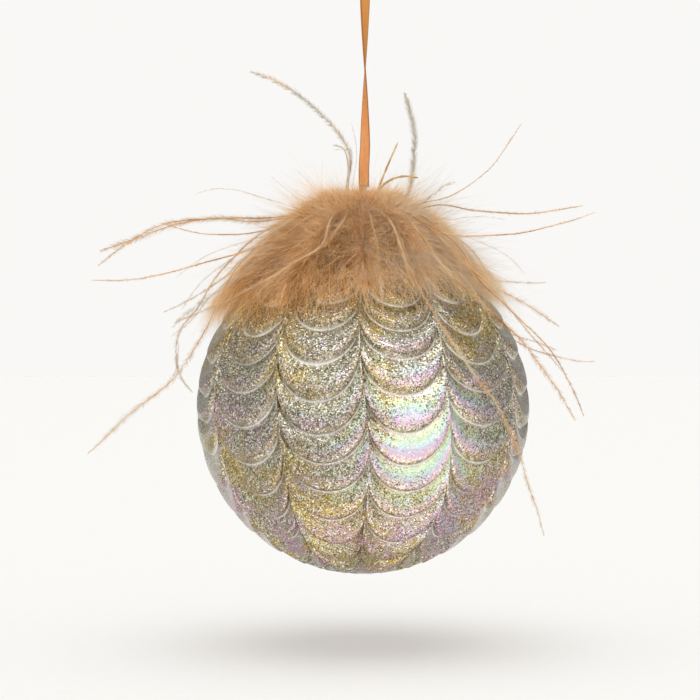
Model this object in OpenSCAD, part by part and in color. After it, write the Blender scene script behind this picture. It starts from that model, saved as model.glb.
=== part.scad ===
// Glass ball ornament with a feather trim and a satin hanging loop.
// Millimetres. +Z is up. The origin is the middle of the ribbon at the top of
// its loop, where the loop rests on its hook. The ball hangs below it.

/* [Glass ball] */
// Outside diameter of the blown glass ball
ball_d = 100; // [98:1:101]
// Thickness of the glass wall
ball_wall = 0.8; // [0.6:0.1:1.2]
// Outside radius of the glass neck
neck_r = 6.4; // [6.2:0.1:6.5]
// How far the neck stands above the top of the sphere
neck_rise = 5.7; // [5:0.1:5.9]

/* [Cap and wire] */
// Clearance between the neck and the skirt of the cap
cap_clear = 0.35; // [0.3:0.05:0.5]
// Thickness of the cap's sheet metal
cap_t = 0.4; // [0.3:0.1:0.5]
// Scallops round the flared rim of the cap
cap_scallops = 12; // [8:1:16]
// Radius of the spring wire
wire_r = 0.45; // [0.4:0.05:0.5]
// Radius of the wire's arch, which is half the spacing of its legs
arch_r = 3.9; // [3.7:0.1:4.1]
// Length of the legs below the arch
leg_len = 15.6; // [15.2:0.1:18]

/* [Ribbon] */
// Width of the satin ribbon, and the diameter of the tube that stands for it
ribbon_w = 3; // [2.8:0.1:3.1]
// Radius of the knot
knot_r = 3.3; // [3.2:0.1:3.5]

/* [Feather trim] */
// Marabou plumes in the lower layer, four groups of them
lower_count = 12; // [8:4:16]
// Marabou plumes in the upper layer, two groups of them
upper_count = 8; // [6:2:10]
// Gap between the lower layer and the glass
plume_gap = 1.4; // [1.2:0.1:1.6]
// Full thickness of a lower plume
lower_t = 4; // [3:0.1:4.2]
// Full thickness of an upper plume
upper_t = 4.4; // [3:0.1:4.6]
// How far down the ball the lower plumes reach, in degrees from the top
lower_end = 62; // [56:1:64]
// How far down the upper plumes reach, in degrees from the top
upper_end = 48; // [40:1:50]
// Radius of an ostrich flue where it leaves the trim
flue_r0 = 0.42; // [0.3:0.02:0.45]
// Radius of an ostrich flue at its tip
flue_r1 = 0.22; // [0.15:0.01:0.25]

/* [Hidden] */
$fn = 64;

ball_r = ball_d / 2;
ball_z = -145.7;                        // centre of the ball
ball_top = ball_z + ball_r;
neck_top = ball_top + neck_rise;
neck_bore = neck_r - 0.9;
plate_z = neck_top + 0.4;               // underside of the cap's plate
plate_top = plate_z + cap_t;
skirt_ri = neck_r + cap_clear;
skirt_ro = skirt_ri + cap_t;
rim_r = skirt_ro + 1.25;
rim_z = ball_top + 0.1;                 // lowest edge of the cap
arch_z = plate_top + 0.8;               // where the arch springs from the legs
pivot_z = arch_z + arch_r;              // middle of the wire at its top
cord_r = 0.7;

// Route of the ribbon, from the knot up the front and down the back
ribbon_up = [[0, -1.8, -79], [0, -2.4, -70], [0, -3, -60], [0, -3.6, -50],
             [0, -4.2, -40], [0, -4.7, -30], [0, -5.3, -20], [0, -5.8, -12],
             [0, -6, -6], [0, -4.2, -1.8]];
ribbon_route = concat(ribbon_up, [[0, 0, 0]],
                      [for (i = [len(ribbon_up) - 1 : -1 : 0])
                          [0, -ribbon_up[i][1], ribbon_up[i][2]]]);

// Routes of the long ostrich flues, root first
flues_left = [
    [[-10, 3, -86], [-20, 5, -88], [-34, 7, -89], [-45, 8, -88], [-56, 9, -89.5], [-68, 10, -93.5], [-81, 11, -98]],
    [[-10, -3, -86], [-22, -8, -88.5], [-37, -14, -89.5], [-48, -18, -90], [-59, -21, -92], [-68, -23, -97], [-77, -24, -104]],
    [[-9, 6, -86], [-20, 13, -89], [-33, 20, -91.5], [-46, 26, -92], [-55, 30, -90.5], [-64, 33, -88]],
    [[-8, -9, -86], [-15, -20, -89], [-23, -27, -95], [-32, -25, -99], [-50, -22, -104], [-65, -20, -107.5], [-80, -18, -108]],
    [[-8, 9, -86], [-20, 17, -90], [-37, 17, -100], [-43, 15, -106], [-51, 12, -111.5], [-61.5, 10, -117]],
    [[-5, -10, -86], [-9, -24, -89.5], [-12, -38, -98.5], [-20, -39, -104], [-28, -35, -108.5], [-38, -26, -113.5], [-46, -17, -116.5], [-56, -9, -120]],
    [[-11, 1, -86], [-26, 1, -90], [-41, 2, -102], [-50, 4, -115], [-56, 6, -123], [-57, 8, -132], [-55.5, 9, -137.5], [-52, 10, -141.5]],
    [[-8, -6, -86.5], [-22, -17, -90.5], [-36, -27, -104], [-42, -27, -115], [-46, -25, -123], [-55, -22, -136.5], [-67, -19, -146], [-81, -17, -159]]];
flues_right = [
    [[10, -2, -86], [16, -4, -86], [24, -5, -85], [33, -6, -86.5], [44, -6, -87.5], [55, -6, -87], [66, -5, -85]],
    [[8, -9, -86], [14, -20, -89], [23, -27, -94.5], [33, -27, -95.5], [45, -25, -94.5], [56, -22, -92], [68, -18, -88]],
    [[9, 8, -86], [20, 18, -90], [31, 27, -101], [38, 28, -105.5], [48, 27, -107], [58, 26, -107]],
    [[6, -10, -86], [14, -22, -89], [24, -32, -98.5], [33, -31, -107.5], [45, -27, -114], [57, -22, -121.5]],
    [[9, -7, -87], [18, -17, -89.5], [28, -28, -99.5], [34, -28, -109], [45, -24, -119], [55, -20, -129], [61, -17, -139], [65, -15, -148]],
    [[10, 4, -86], [22, 11, -89.5], [34, 15, -97.5], [41, 17, -109], [50, 17, -121], [57, 16, -129], [61.5, 15, -134.5]],
    [[7, 10, -86], [20, 21, -91], [33, 31, -108], [40, 30, -118], [46, 28, -124], [56, 25, -129], [66, 22, -131.5], [73, 20, -132]],
    [[5, -11, -87], [13, -27, -91], [21, -38, -103], [32, -36, -114], [43, -31, -123.5], [52, -26, -134], [62, -21, -149]]];
flues_front = [
    [[3, -11, -86], [8, -31, -92], [13, -44, -107], [20, -49, -119], [27, -46, -130], [37, -39, -143], [43, -32, -154.5], [48, -25, -168], [53, -19, -183]],
    [[-3, -11, -86], [-5, -24, -89], [-8, -40, -95], [-12, -60, -101]],
    [[1, -12, -87], [2, -28, -90], [4, -45, -102], [5, -58, -118]]];
flues_back = [
    [[-8, 11, -87], [-15, 26, -90], [-24, 38, -103], [-33, 48, -118]],
    [[-4, 12, -86], [-8, 28, -90], [-12, 44, -99], [-18, 61, -104]],
    [[0, 11, -87], [0, 26, -89.5], [2, 44, -103], [3, 54, -124]],
    [[4, 12, -86], [9, 27, -89.5], [15, 43, -97], [21, 60, -99]],
    [[8, 11, -87], [14, 26, -90.5], [22, 39, -104], [29, 47, -121]]];
flues_top = [
    [[-6, 5, -86.5], [-5, 5.5, -78], [-3.8, 5.5, -69], [-8.5, 5, -61], [-18, 4, -52], [-26, 3, -47], [-34, 2, -44]],
    [[9, 6, -87], [14, 8, -80], [16, 9, -66], [15.5, 9, -60], [13, 9, -49.5]],
    [[10, -5, -87], [18, -7, -84.5], [27, -8, -82], [38, -9, -74], [47, -10, -61]]];
// Routes of the bare quill ends beside the ribbon
stubs = [
    [[5, -5, -87], [4.9, -5, -80], [6.6, -5, -75], [10.5, -5, -66]],
    [[5.2, -7.5, -87], [5.2, -7.5, -80.5], [8.5, -7.5, -77.5], [12.5, -7.5, -76.5], [16.5, -7.5, -77]],
    [[-5, -5, -87], [-4.3, -5, -76], [-5.5, -5, -68.5], [-9, -5, -67]]];

// ---------- shared geometry ----------
function unit(v) = v / norm(v);
function cr(a, b, c, d, t) =
    0.5 * (2 * b + (c - a) * t + (2 * a - 5 * b + 4 * c - d) * t * t
           + (3 * b - a - 3 * c + d) * t * t * t);
function smooth(p, n) = concat(
    [for (i = [0 : len(p) - 2], k = [0 : n - 1])
        cr(p[max(i - 1, 0)], p[i], p[i + 1], p[min(i + 2, len(p) - 1)], k / n)],
    [p[len(p) - 1]]);

// A round strand swept along a smoothed route, tapering from r0 to r1
module strand(route, r0, r1, sides = 6, n = 2) {
    q = smooth(route, n);
    m = len(q);
    h = unit(cross([0, 0, 1], q[m - 1] - q[0]));
    pts = [for (i = [0 : m - 1])
        let (t = unit(q[min(i + 1, m - 1)] - q[max(i - 1, 0)]),
             u = unit(cross(t, h)), v = cross(t, u),
             r = r0 + (r1 - r0) * i / (m - 1))
        for (k = [0 : sides - 1])
            q[i] + r * (cos(360 * k / sides) * u + sin(360 * k / sides) * v)];
    function id(i, k) = i * sides + k % sides;
    polyhedron(pts, concat(
        [[for (k = [0 : sides - 1]) id(0, k)]],
        [[for (k = [sides - 1 : -1 : 0]) id(m - 1, k)]],
        [for (i = [0 : m - 2], k = [0 : sides - 1])
            [id(i, k), id(i + 1, k), id(i + 1, k + 1)]],
        [for (i = [0 : m - 2], k = [0 : sides - 1])
            [id(i, k), id(i + 1, k + 1), id(i, k + 1)]]), convexity = 8);
}

module flues(routes) {
    for (p = routes) strand(p, flue_r0, flue_r1);
}

// Thickness of a plume along its length: full in the middle, thin at its tip
function plume_t(t, s) = t * (0.72 + 0.28 * sin(180 * min(s * 1.4, 1)))
                         * (s < 0.45 ? 1 : 1 - 0.78 * pow((s - 0.45) / 0.55, 1.5));

// One plume: a curved pad that follows the ball, base is its inner radius
module plume(base, t, a0, a1, sweep) {
    n = 8;
    rotate([0, 0, -sweep / 2])
    rotate_extrude(angle = sweep)
    polygon(concat(
        [for (i = [0 : n]) let (a = a0 + (a1 - a0) * i / n) base(i / n) * [sin(a), cos(a)]],
        [for (i = [n : -1 : 0]) let (a = a0 + (a1 - a0) * i / n)
            (base(i / n) + plume_t(t, i / n)) * [sin(a), cos(a)]]));
}

function lower_base(s) = ball_r + plume_gap;
function upper_base(s) = ball_r + plume_gap + 0.5
    + plume_t(lower_t, s * (upper_end - 12) / (lower_end - 12));

module lower_plumes(first) {
    step = 360 / lower_count;
    translate([0, 0, ball_z])
    for (i = [0 : lower_count / 4 - 1])
        rotate([0, 0, first + step * (i + 0.5)])
            plume(function (s) lower_base(s), lower_t, 12, lower_end, step - 1.4);
}

module upper_plumes(first) {
    step = 360 / upper_count;
    translate([0, 0, ball_z])
    for (i = [0 : upper_count / 2 - 1])
        rotate([0, 0, first + step * (i + 0.5)])
            plume(function (s) upper_base(s), upper_t, 12, upper_end, step - 1.6);
}

// ---------- hanging loop ----------
module ribbon_loop() {
    color([0.89, 0.57, 0.16])
    strand(ribbon_route, ribbon_w / 2, ribbon_w / 2, 8, 3);
}

// The knot with its sleeve round the wire
module ribbon_knot() {
    color([0.90, 0.60, 0.24])
    difference() {
        union() {
            rotate_extrude()
                polygon([[0, pivot_z + 1.1], [2.2, pivot_z + 1.1],
                         [knot_r - 0.2, pivot_z + 2.5], [knot_r, pivot_z + 3.9],
                         [knot_r - 0.1, -79.3], [0, -79.3]]);
            translate([-1.2, 0, pivot_z]) rotate([0, 90, 0])
                cylinder(r = 1.5, h = 2.4);
        }
        translate([-4, 0, pivot_z]) rotate([0, 90, 0])
            cylinder(r = 0.9, h = 8);
    }
}

// Hairpin of spring wire: an arch and two legs that drop into the neck
module hanger_wire() {
    color([0.78, 0.77, 0.74])
    union() {
        translate([0, 0, arch_z]) rotate([90, 0, 0])
            rotate_extrude(angle = 180) translate([arch_r, 0]) circle(r = wire_r);
        for (s = [-1, 1])
            translate([s * arch_r, 0, arch_z - leg_len]) cylinder(r = wire_r, h = leg_len);
    }
}

// Pressed metal cap: plate with two wire holes, skirt and scalloped rim
module ornament_cap() {
    color([0.80, 0.66, 0.36])
    difference() {
        rotate_extrude()
            polygon([[0, plate_z], [skirt_ri, plate_z], [skirt_ri, rim_z + 1],
                     [rim_r - 0.25, rim_z], [rim_r, rim_z + 0.25],
                     [skirt_ro, rim_z + 1.3], [skirt_ro, plate_top - 0.5],
                     [skirt_ro - 0.5, plate_top], [4.9, plate_top],
                     [4.7, plate_top + 0.2], [2.9, plate_top + 0.2],
                     [2.7, plate_top], [0, plate_top]]);
        for (s = [-1, 1])
            translate([s * arch_r, 0, plate_z - 1]) cylinder(r = wire_r + 0.09, h = 3);
        for (i = [0 : cap_scallops - 1])
            rotate([0, 0, 360 / cap_scallops * i])
                translate([rim_r + 0.15, 0, rim_z - 1]) cylinder(r = 0.65, h = 3);
    }
}

// Thin blown shell with an open neck
module glass_ball() {
    color([0.74, 0.69, 0.55])
    difference() {
        union() {
            translate([0, 0, ball_z]) sphere(r = ball_r);
            translate([0, 0, ball_z + ball_r - 5]) cylinder(r = neck_r, h = 5 + neck_rise);
        }
        translate([0, 0, ball_z]) sphere(r = ball_r - ball_wall);
        translate([0, 0, ball_z + ball_r - 8]) cylinder(r = neck_bore, h = 12 + neck_rise);
    }
}

// ---------- feather trim ----------
// Two turns of the stringing cord that ties the feathers round the cap
module trim_cord() {
    color([0.62, 0.45, 0.28])
    for (z = [rim_z + 2.15, rim_z + 3.75])
        translate([0, 0, z]) rotate_extrude()
            translate([skirt_ro + 0.25 + cord_r, 0]) circle(r = cord_r);
}

// Bead of glue that sets the quill ends against the cord
module glue_bead() {
    color([0.80, 0.70, 0.50])
    rotate_extrude()
        polygon([[9, rim_z + 0.6], [9.9, rim_z + 0.4], [10.4, rim_z + 0.9],
                 [10.3, rim_z + 3.2], [9.7, rim_z + 4.1], [9, rim_z + 4]]);
}

module plumes_lower_front() { color([0.72, 0.55, 0.40]) lower_plumes(-135); }
module plumes_lower_right() { color([0.74, 0.57, 0.42]) lower_plumes(-45); }
module plumes_lower_back() { color([0.72, 0.55, 0.40]) lower_plumes(45); }
module plumes_lower_left() { color([0.74, 0.57, 0.42]) lower_plumes(135); }
module plumes_upper_front() { color([0.79, 0.62, 0.47]) upper_plumes(-180); }
module plumes_upper_back() { color([0.79, 0.62, 0.47]) upper_plumes(0); }
module ostrich_flues_left() { color([0.66, 0.47, 0.32]) flues(flues_left); }
module ostrich_flues_right() { color([0.66, 0.47, 0.32]) flues(flues_right); }
module ostrich_flues_front() { color([0.70, 0.52, 0.36]) flues(flues_front); }
module ostrich_flues_back() { color([0.66, 0.47, 0.32]) flues(flues_back); }
module ostrich_flues_top() { color([0.64, 0.50, 0.38]) flues(flues_top); }
module quill_stubs() {
    color([0.52, 0.36, 0.16])
    for (p = stubs) strand(p, 0.5, 0.35);
}

ribbon_loop();
ribbon_knot();
hanger_wire();
ornament_cap();
glass_ball();
trim_cord();
glue_bead();
plumes_lower_front();
plumes_lower_right();
plumes_lower_back();
plumes_lower_left();
plumes_upper_front();
plumes_upper_back();
ostrich_flues_left();
ostrich_flues_right();
ostrich_flues_front();
ostrich_flues_back();
ostrich_flues_top();
quill_stubs();
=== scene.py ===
import math
import bpy
import numpy as np
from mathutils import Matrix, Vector


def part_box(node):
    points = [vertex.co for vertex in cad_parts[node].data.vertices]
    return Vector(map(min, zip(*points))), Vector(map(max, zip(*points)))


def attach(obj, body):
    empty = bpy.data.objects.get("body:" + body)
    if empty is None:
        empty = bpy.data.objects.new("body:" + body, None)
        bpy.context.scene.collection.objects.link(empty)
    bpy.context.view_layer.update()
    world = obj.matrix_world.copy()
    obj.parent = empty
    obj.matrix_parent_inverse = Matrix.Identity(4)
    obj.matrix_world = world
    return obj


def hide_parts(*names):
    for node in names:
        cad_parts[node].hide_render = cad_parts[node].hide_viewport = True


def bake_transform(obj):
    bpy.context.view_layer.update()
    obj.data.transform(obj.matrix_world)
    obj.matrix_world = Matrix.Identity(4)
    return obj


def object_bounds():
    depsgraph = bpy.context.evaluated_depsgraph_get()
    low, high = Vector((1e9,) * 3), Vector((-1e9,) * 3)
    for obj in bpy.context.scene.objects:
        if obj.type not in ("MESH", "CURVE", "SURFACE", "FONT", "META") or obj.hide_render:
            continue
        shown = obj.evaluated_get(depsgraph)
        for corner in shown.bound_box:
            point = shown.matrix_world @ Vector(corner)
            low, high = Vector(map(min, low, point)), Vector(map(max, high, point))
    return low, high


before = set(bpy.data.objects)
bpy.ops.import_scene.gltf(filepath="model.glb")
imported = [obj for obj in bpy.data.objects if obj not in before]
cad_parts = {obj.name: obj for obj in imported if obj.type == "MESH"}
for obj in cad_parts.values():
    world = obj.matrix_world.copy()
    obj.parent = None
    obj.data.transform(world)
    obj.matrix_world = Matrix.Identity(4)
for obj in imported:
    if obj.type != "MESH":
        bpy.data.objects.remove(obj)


def listed(b):
    return [[float(c) for c in p] for p in b]


CAD_BOX = listed(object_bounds())
MM = 0.001

# Heights of the design, in metres, as the CAD has them
BALL_LO, BALL_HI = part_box("glass_ball")
NECK_TOP = BALL_HI.z
BALL_R = (BALL_HI.x - BALL_LO.x) / 2
BALL_Z = BALL_LO.z + BALL_R
BALL_C = np.array([0.0, 0.0, BALL_Z])
PIVOT_Z = -84.5 * MM

scene = bpy.context.scene
COLL = scene.collection


# ------------------------------------------------------------------ camera
def make_camera():
    cam = bpy.data.cameras.new("camera")
    cam.lens = 100
    cam.sensor_width = 36
    cam.clip_start = 0.01
    cam.clip_end = 50
    ob = bpy.data.objects.new("camera", cam)
    field = 0.2114
    distance = field * cam.lens / cam.sensor_width
    ob.location = (-0.0039, -distance, BALL_Z + 0.01737)
    ob.rotation_euler = (math.radians(90), 0, 0)
    COLL.objects.link(ob)
    scene.camera = ob


make_camera()


# ------------------------------------------------------------------ mesh helpers
def make_mesh(name, verts, quads=None, tris=None, attrs=None, uvs=None, smooth=True):
    """A mesh object from arrays. attrs: name -> one float per vertex; uvs: (name, n_vertices x 2)."""
    verts = np.asarray(verts, np.float64).reshape(-1, 3)
    quads = np.zeros((0, 4), np.int64) if quads is None else np.asarray(quads, np.int64).reshape(-1, 4)
    tris = np.zeros((0, 3), np.int64) if tris is None else np.asarray(tris, np.int64).reshape(-1, 3)
    me = bpy.data.meshes.new(name)
    me.vertices.add(len(verts))
    me.vertices.foreach_set("co", verts.astype(np.float32).ravel())
    loops = np.concatenate([quads.ravel(), tris.ravel()]).astype(np.int32)
    me.loops.add(len(loops))
    me.loops.foreach_set("vertex_index", loops)
    starts = np.concatenate([np.arange(len(quads)) * 4, len(quads) * 4 + np.arange(len(tris)) * 3])
    me.polygons.add(len(quads) + len(tris))
    me.polygons.foreach_set("loop_start", starts.astype(np.int32))
    me.polygons.foreach_set("use_smooth", np.full(len(quads) + len(tris), smooth))
    me.update(calc_edges=True)
    for key, values in (attrs or {}).items():
        a = me.attributes.new(key, "FLOAT", "POINT")
        a.data.foreach_set("value", np.asarray(values, np.float32).ravel())
    if uvs is not None:
        layer = me.uv_layers.new(name=uvs[0])
        layer.data.foreach_set("uv", np.asarray(uvs[1], np.float32)[loops].ravel())
    me.validate()
    ob = bpy.data.objects.new(name, me)
    COLL.objects.link(ob)
    return ob


def unit(v, axis=-1):
    return v / np.maximum(np.linalg.norm(v, axis=axis, keepdims=True), 1e-12)


def catmull(points, n):
    """Catmull-Rom through the points, n steps to a span, as the CAD routes are smoothed."""
    p = np.asarray(points, float)
    out = []
    for i in range(len(p) - 1):
        a, b, c, d = p[max(i - 1, 0)], p[i], p[i + 1], p[min(i + 2, len(p) - 1)]
        for k in range(n):
            t = k / n
            out.append(0.5 * (2 * b + (c - a) * t + (2 * a - 5 * b + 4 * c - d) * t * t + (3 * b - a - 3 * c + d) * t ** 3))
    out.append(p[-1])
    return np.array(out)


def strands(P, R, sides=3, seed=0, flat=1.0):
    """Closed tapered tubes, many at once: P is N x K x 3, R is N x K. The last ring closes to a point.
    Returns verts, quads, tris, and for each vertex its strand and its place along it."""
    N, K, _ = P.shape
    T = np.empty_like(P)
    T[:, 1:-1] = P[:, 2:] - P[:, :-2]
    T[:, 0] = P[:, 1] - P[:, 0]
    T[:, -1] = P[:, -1] - P[:, -2]
    T = unit(T)
    rs = np.random.default_rng(seed)
    h = unit(rs.normal(size=(N, 1, 3)) + 1e-3)
    whole = unit(P[:, -1:] - P[:, :1])
    h = unit(np.cross(h, whole))
    U = unit(h - T * np.sum(h * T, axis=-1, keepdims=True))
    V = np.cross(T, U)
    M = (K - 1) * sides + 1
    verts = np.empty((N, M, 3))
    for k in range(K - 1):
        for s in range(sides):
            a = 2 * math.pi * s / sides
            verts[:, k * sides + s] = P[:, k] + R[:, k, None] * (math.cos(a) * U[:, k] + flat * math.sin(a) * V[:, k])
    verts[:, -1] = P[:, -1]
    q, t = [], []
    for k in range(K - 2):
        for s in range(sides):
            a, b = k * sides + s, k * sides + (s + 1) % sides
            q.append((a, b, b + sides, a + sides))
    last = (K - 2) * sides
    for s in range(sides):
        t.append((last + s, last + (s + 1) % sides, M - 1))
    for s in range(1, sides - 1):
        t.append((0, s + 1, s))
    off = (np.arange(N) * M)[:, None, None]
    quads = (np.array(q, np.int64).reshape(1, -1, 4) + off).reshape(-1, 4)
    tris = (np.array(t, np.int64).reshape(1, -1, 3) + off).reshape(-1, 3)
    along = np.empty((N, M))
    for k in range(K - 1):
        along[:, k * sides:(k + 1) * sides] = k / (K - 1)
    along[:, -1] = 1
    return verts.reshape(-1, 3), quads, tris, along.ravel(), np.repeat(np.arange(N), M)


class Bundle:
    """Gathers strands into one piece."""

    def __init__(self):
        self.v, self.q, self.t, self.a, self.n = [], [], [], {}, 0

    def add(self, verts, quads, tris, **attrs):
        self.v.append(verts)
        self.q.append(quads + self.n)
        self.t.append(tris + self.n)
        for k, x in attrs.items():
            self.a.setdefault(k, []).append(x)
        self.n += len(verts)

    def make(self, name):
        return make_mesh(name, np.concatenate(self.v), np.concatenate(self.q), np.concatenate(self.t),
                         {k: np.concatenate(x) for k, x in self.a.items()})


# ------------------------------------------------------------------ node helpers
def new_material(name):
    m = bpy.data.materials.new(name)
    m.use_nodes = True
    nt = m.node_tree
    nt.nodes.clear()
    out = nt.nodes.new("ShaderNodeOutputMaterial")
    p = nt.nodes.new("ShaderNodeBsdfPrincipled")
    nt.links.new(p.outputs[0], out.inputs["Surface"])
    return m, nt, p


def node(nt, kind, inputs=None, **props):
    n = nt.nodes.new(kind)
    for k, v in props.items():
        setattr(n, k, v)
    for k, v in (inputs or {}).items():
        if isinstance(v, bpy.types.NodeSocket):
            nt.links.new(v, n.inputs[k])
        else:
            n.inputs[k].default_value = v
    return n


def ramp(nt, fac, stops, mode="LINEAR"):
    n = nt.nodes.new("ShaderNodeValToRGB")
    n.color_ramp.interpolation = mode
    e = n.color_ramp.elements
    while len(e) > 1:
        e.remove(e[-1])
    e[0].position, e[0].color = stops[0][0], (*stops[0][1], 1)
    for pos, col in stops[1:]:
        x = e.new(pos)
        x.color = (*col, 1)
    nt.links.new(fac, n.inputs["Fac"])
    return n.outputs["Color"]


def math_node(nt, op, a, b=None, c=None, clamp=False):
    n = nt.nodes.new("ShaderNodeMath")
    n.operation = op
    n.use_clamp = clamp
    for i, v in enumerate((a, b, c)):
        if v is None:
            continue
        if isinstance(v, bpy.types.NodeSocket):
            nt.links.new(v, n.inputs[i])
        else:
            n.inputs[i].default_value = v
    return n.outputs[0]


def vmath(nt, op, a, b=None, scale=None):
    n = nt.nodes.new("ShaderNodeVectorMath")
    n.operation = op
    for i, v in enumerate((a, b)):
        if v is None:
            continue
        if isinstance(v, bpy.types.NodeSocket):
            nt.links.new(v, n.inputs[i])
        else:
            n.inputs[i].default_value = v
    if scale is not None:
        n.inputs["Scale"].default_value = scale
    return n.outputs[0]


def mix_colour(nt, fac, a, b, blend="MIX"):
    n = nt.nodes.new("ShaderNodeMix")
    n.data_type = "RGBA"
    n.blend_type = blend
    for key, v in ((0, fac), (6, a), (7, b)):
        if isinstance(v, bpy.types.NodeSocket):
            nt.links.new(v, n.inputs[key])
        elif key == 0:
            n.inputs[0].default_value = v
        else:
            n.inputs[key].default_value = (*v, 1)
    return n.outputs[2]


def attribute(nt, name, kind="Fac"):
    return node(nt, "ShaderNodeAttribute", attribute_name=name).outputs[kind]


def object_coords(nt):
    return node(nt, "ShaderNodeTexCoord").outputs["Object"]


def set_material(ob, *mats):
    ob.data.materials.clear()
    for m in mats:
        ob.data.materials.append(m)


# ------------------------------------------------------------------ ribbon
RIBBON_W, RIBBON_T = 3.15, 0.26
RIBBON_UP = [[0, -1.8, -79], [0, -2.4, -70], [0, -3, -60], [0, -3.6, -50],
             [0, -4.2, -40], [0, -4.7, -30], [0, -5.3, -20], [0, -5.8, -12],
             [0, -6, -6], [0, -4.2, -1.8]]
RIBBON_ROUTE = RIBBON_UP + [[0, 0, 0]] + [[x, -y, z] for x, y, z in reversed(RIBBON_UP)]


def satin_material(name, base, edge, pale):
    """Woven satin: a warp sheen along the ribbon, fine weft lines across, darker selvages."""
    m, nt, p = new_material(name)
    uv = node(nt, "ShaderNodeUVMap", uv_map="weave").outputs[0]
    sep = node(nt, "ShaderNodeSeparateXYZ", {0: uv})
    across, along = sep.outputs[0], sep.outputs[1]          # across 0..1, along in millimetres
    wide = math_node(nt, "ABSOLUTE", math_node(nt, "SUBTRACT", across, 0.5))
    selv = math_node(nt, "MULTIPLY", math_node(nt, "SUBTRACT", wide, 0.37, clamp=True), 9.0, clamp=True)
    weft = math_node(nt, "SINE", math_node(nt, "MULTIPLY", along, 2 * math.pi / 0.34))
    warp = math_node(nt, "SINE", math_node(nt, "MULTIPLY", across, 2 * math.pi * 26))
    streak = node(nt, "ShaderNodeTexNoise", {"Vector": vmath(nt, "MULTIPLY", uv, (34.0, 0.12, 1.0)), "Scale": 1.0, "Detail": 4.0, "Roughness": 0.6}).outputs[0]
    blot = node(nt, "ShaderNodeTexNoise", {"Vector": vmath(nt, "MULTIPLY", uv, (1.5, 0.35, 1.0)), "Scale": 1.0, "Detail": 3.0}).outputs[0]
    tone = math_node(nt, "ADD", math_node(nt, "MULTIPLY", streak, 0.7), math_node(nt, "MULTIPLY", blot, 0.45))
    col = ramp(nt, tone, [(0.30, tuple(c * 0.80 for c in base)), (0.55, base), (0.85, pale)])
    thread = math_node(nt, "MULTIPLY_ADD", weft, 0.5, 0.5)
    col = mix_colour(nt, math_node(nt, "MULTIPLY", thread, 0.16), col, tuple(c * 0.62 for c in base))
    speck = node(nt, "ShaderNodeTexNoise", {"Vector": vmath(nt, "MULTIPLY", uv, (14.0, 4.5, 1.0)), "Scale": 1.0, "Detail": 2.0}).outputs[0]
    col = mix_colour(nt, math_node(nt, "MULTIPLY_ADD", speck, 2.4, -1.15, clamp=True), col, tuple(c * 0.60 for c in base))
    # painted light and shade: higher up the satin is coloured a deeper, darker orange, lower down it keeps its paler,
    # lit colour
    high = math_node(nt, "MULTIPLY_ADD", node(nt, "ShaderNodeSeparateXYZ", {0: object_coords(nt)}).outputs[2], 26.0, 1.72, clamp=True)
    col = mix_colour(nt, math_node(nt, "MULTIPLY", high, 0.94), col, tuple(c * k for c, k in zip(base, (1.08, 0.80, 0.10))))
    # one face is satin, the other is its duller back
    wrong = attribute(nt, "wrong")
    col = mix_colour(nt, math_node(nt, "MULTIPLY", wrong, 0.85), col, tuple(c * k for c, k in zip(base, (0.66, 0.74, 0.55))))
    col = mix_colour(nt, math_node(nt, "MULTIPLY", selv, 0.85), col, edge)
    nt.links.new(col, p.inputs["Base Color"])
    rough = math_node(nt, "ADD", math_node(nt, "MULTIPLY_ADD", thread, 0.14, 0.30), math_node(nt, "MULTIPLY", wrong, 0.25))
    nt.links.new(rough, p.inputs["Roughness"])
    height = math_node(nt, "ADD", math_node(nt, "MULTIPLY", weft, 0.6), math_node(nt, "MULTIPLY", warp, 0.35))
    bump = node(nt, "ShaderNodeBump", {"Height": height, "Strength": 0.35, "Distance": 0.00004})
    nt.links.new(bump.outputs[0], p.inputs["Normal"])
    p.inputs["Sheen Weight"].default_value = 0.03
    p.inputs["Sheen Roughness"].default_value = 0.35
    p.inputs["Anisotropic"].default_value = 0.55
    p.inputs["Specular IOR Level"].default_value = 0.30
    return m


SATIN = satin_material("orange_satin", (0.69, 0.280, 0.090), (0.27, 0.080, 0.010), (0.80, 0.42, 0.18))


def strip(path, across, width, thick, up=None):
    """A flat woven band swept along path: across is its width direction at each point. Thicker selvages, closed ends."""
    n = len(path)
    tang = np.gradient(path, axis=0)
    tang = unit(tang)
    w = unit(across - tang * np.sum(across * tang, axis=1, keepdims=True))
    nrm = np.cross(tang, w)
    prof = [(-0.5, 0.30), (-0.47, 0.62), (-0.42, 0.60), (-0.38, 0.44), (-0.20, 0.50), (0.0, 0.52), (0.20, 0.50), (0.38, 0.44), (0.42, 0.60), (0.47, 0.62), (0.5, 0.30)]
    ring = prof + [(a, -b) for a, b in reversed(prof)]
    k = len(ring)
    verts = np.empty((n, k, 3))
    uvs = np.empty((n, k, 2))
    s = np.concatenate([[0], np.cumsum(np.linalg.norm(np.diff(path, axis=0), axis=1))]) / MM
    for i, (a, b) in enumerate(ring):
        verts[:, i] = path + w * (a * width) + nrm * (b * thick)
        uvs[:, i, 0] = a + 0.5
        uvs[:, i, 1] = s
    q = []
    for i in range(n - 1):
        for j in range(k):
            a, b = i * k + j, i * k + (j + 1) % k
            q.append((a, b, b + k, a + k))
    caps_q, caps_t = [], []
    m = len(prof)
    for base, flip in ((0, True), ((n - 1) * k, False)):
        for j in range(m - 1):
            f = (base + j, base + j + 1, base + k - 2 - j, base + k - 1 - j)
            caps_q.append(f if not flip else f[::-1])
    return verts.reshape(-1, 3), np.array(q + caps_q), uvs.reshape(-1, 2)


def fix_normals(ob):
    import bmesh
    bm = bmesh.new()
    bm.from_mesh(ob.data)
    bmesh.ops.recalc_face_normals(bm, faces=bm.faces)
    bm.to_mesh(ob.data)
    bm.free()


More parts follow.
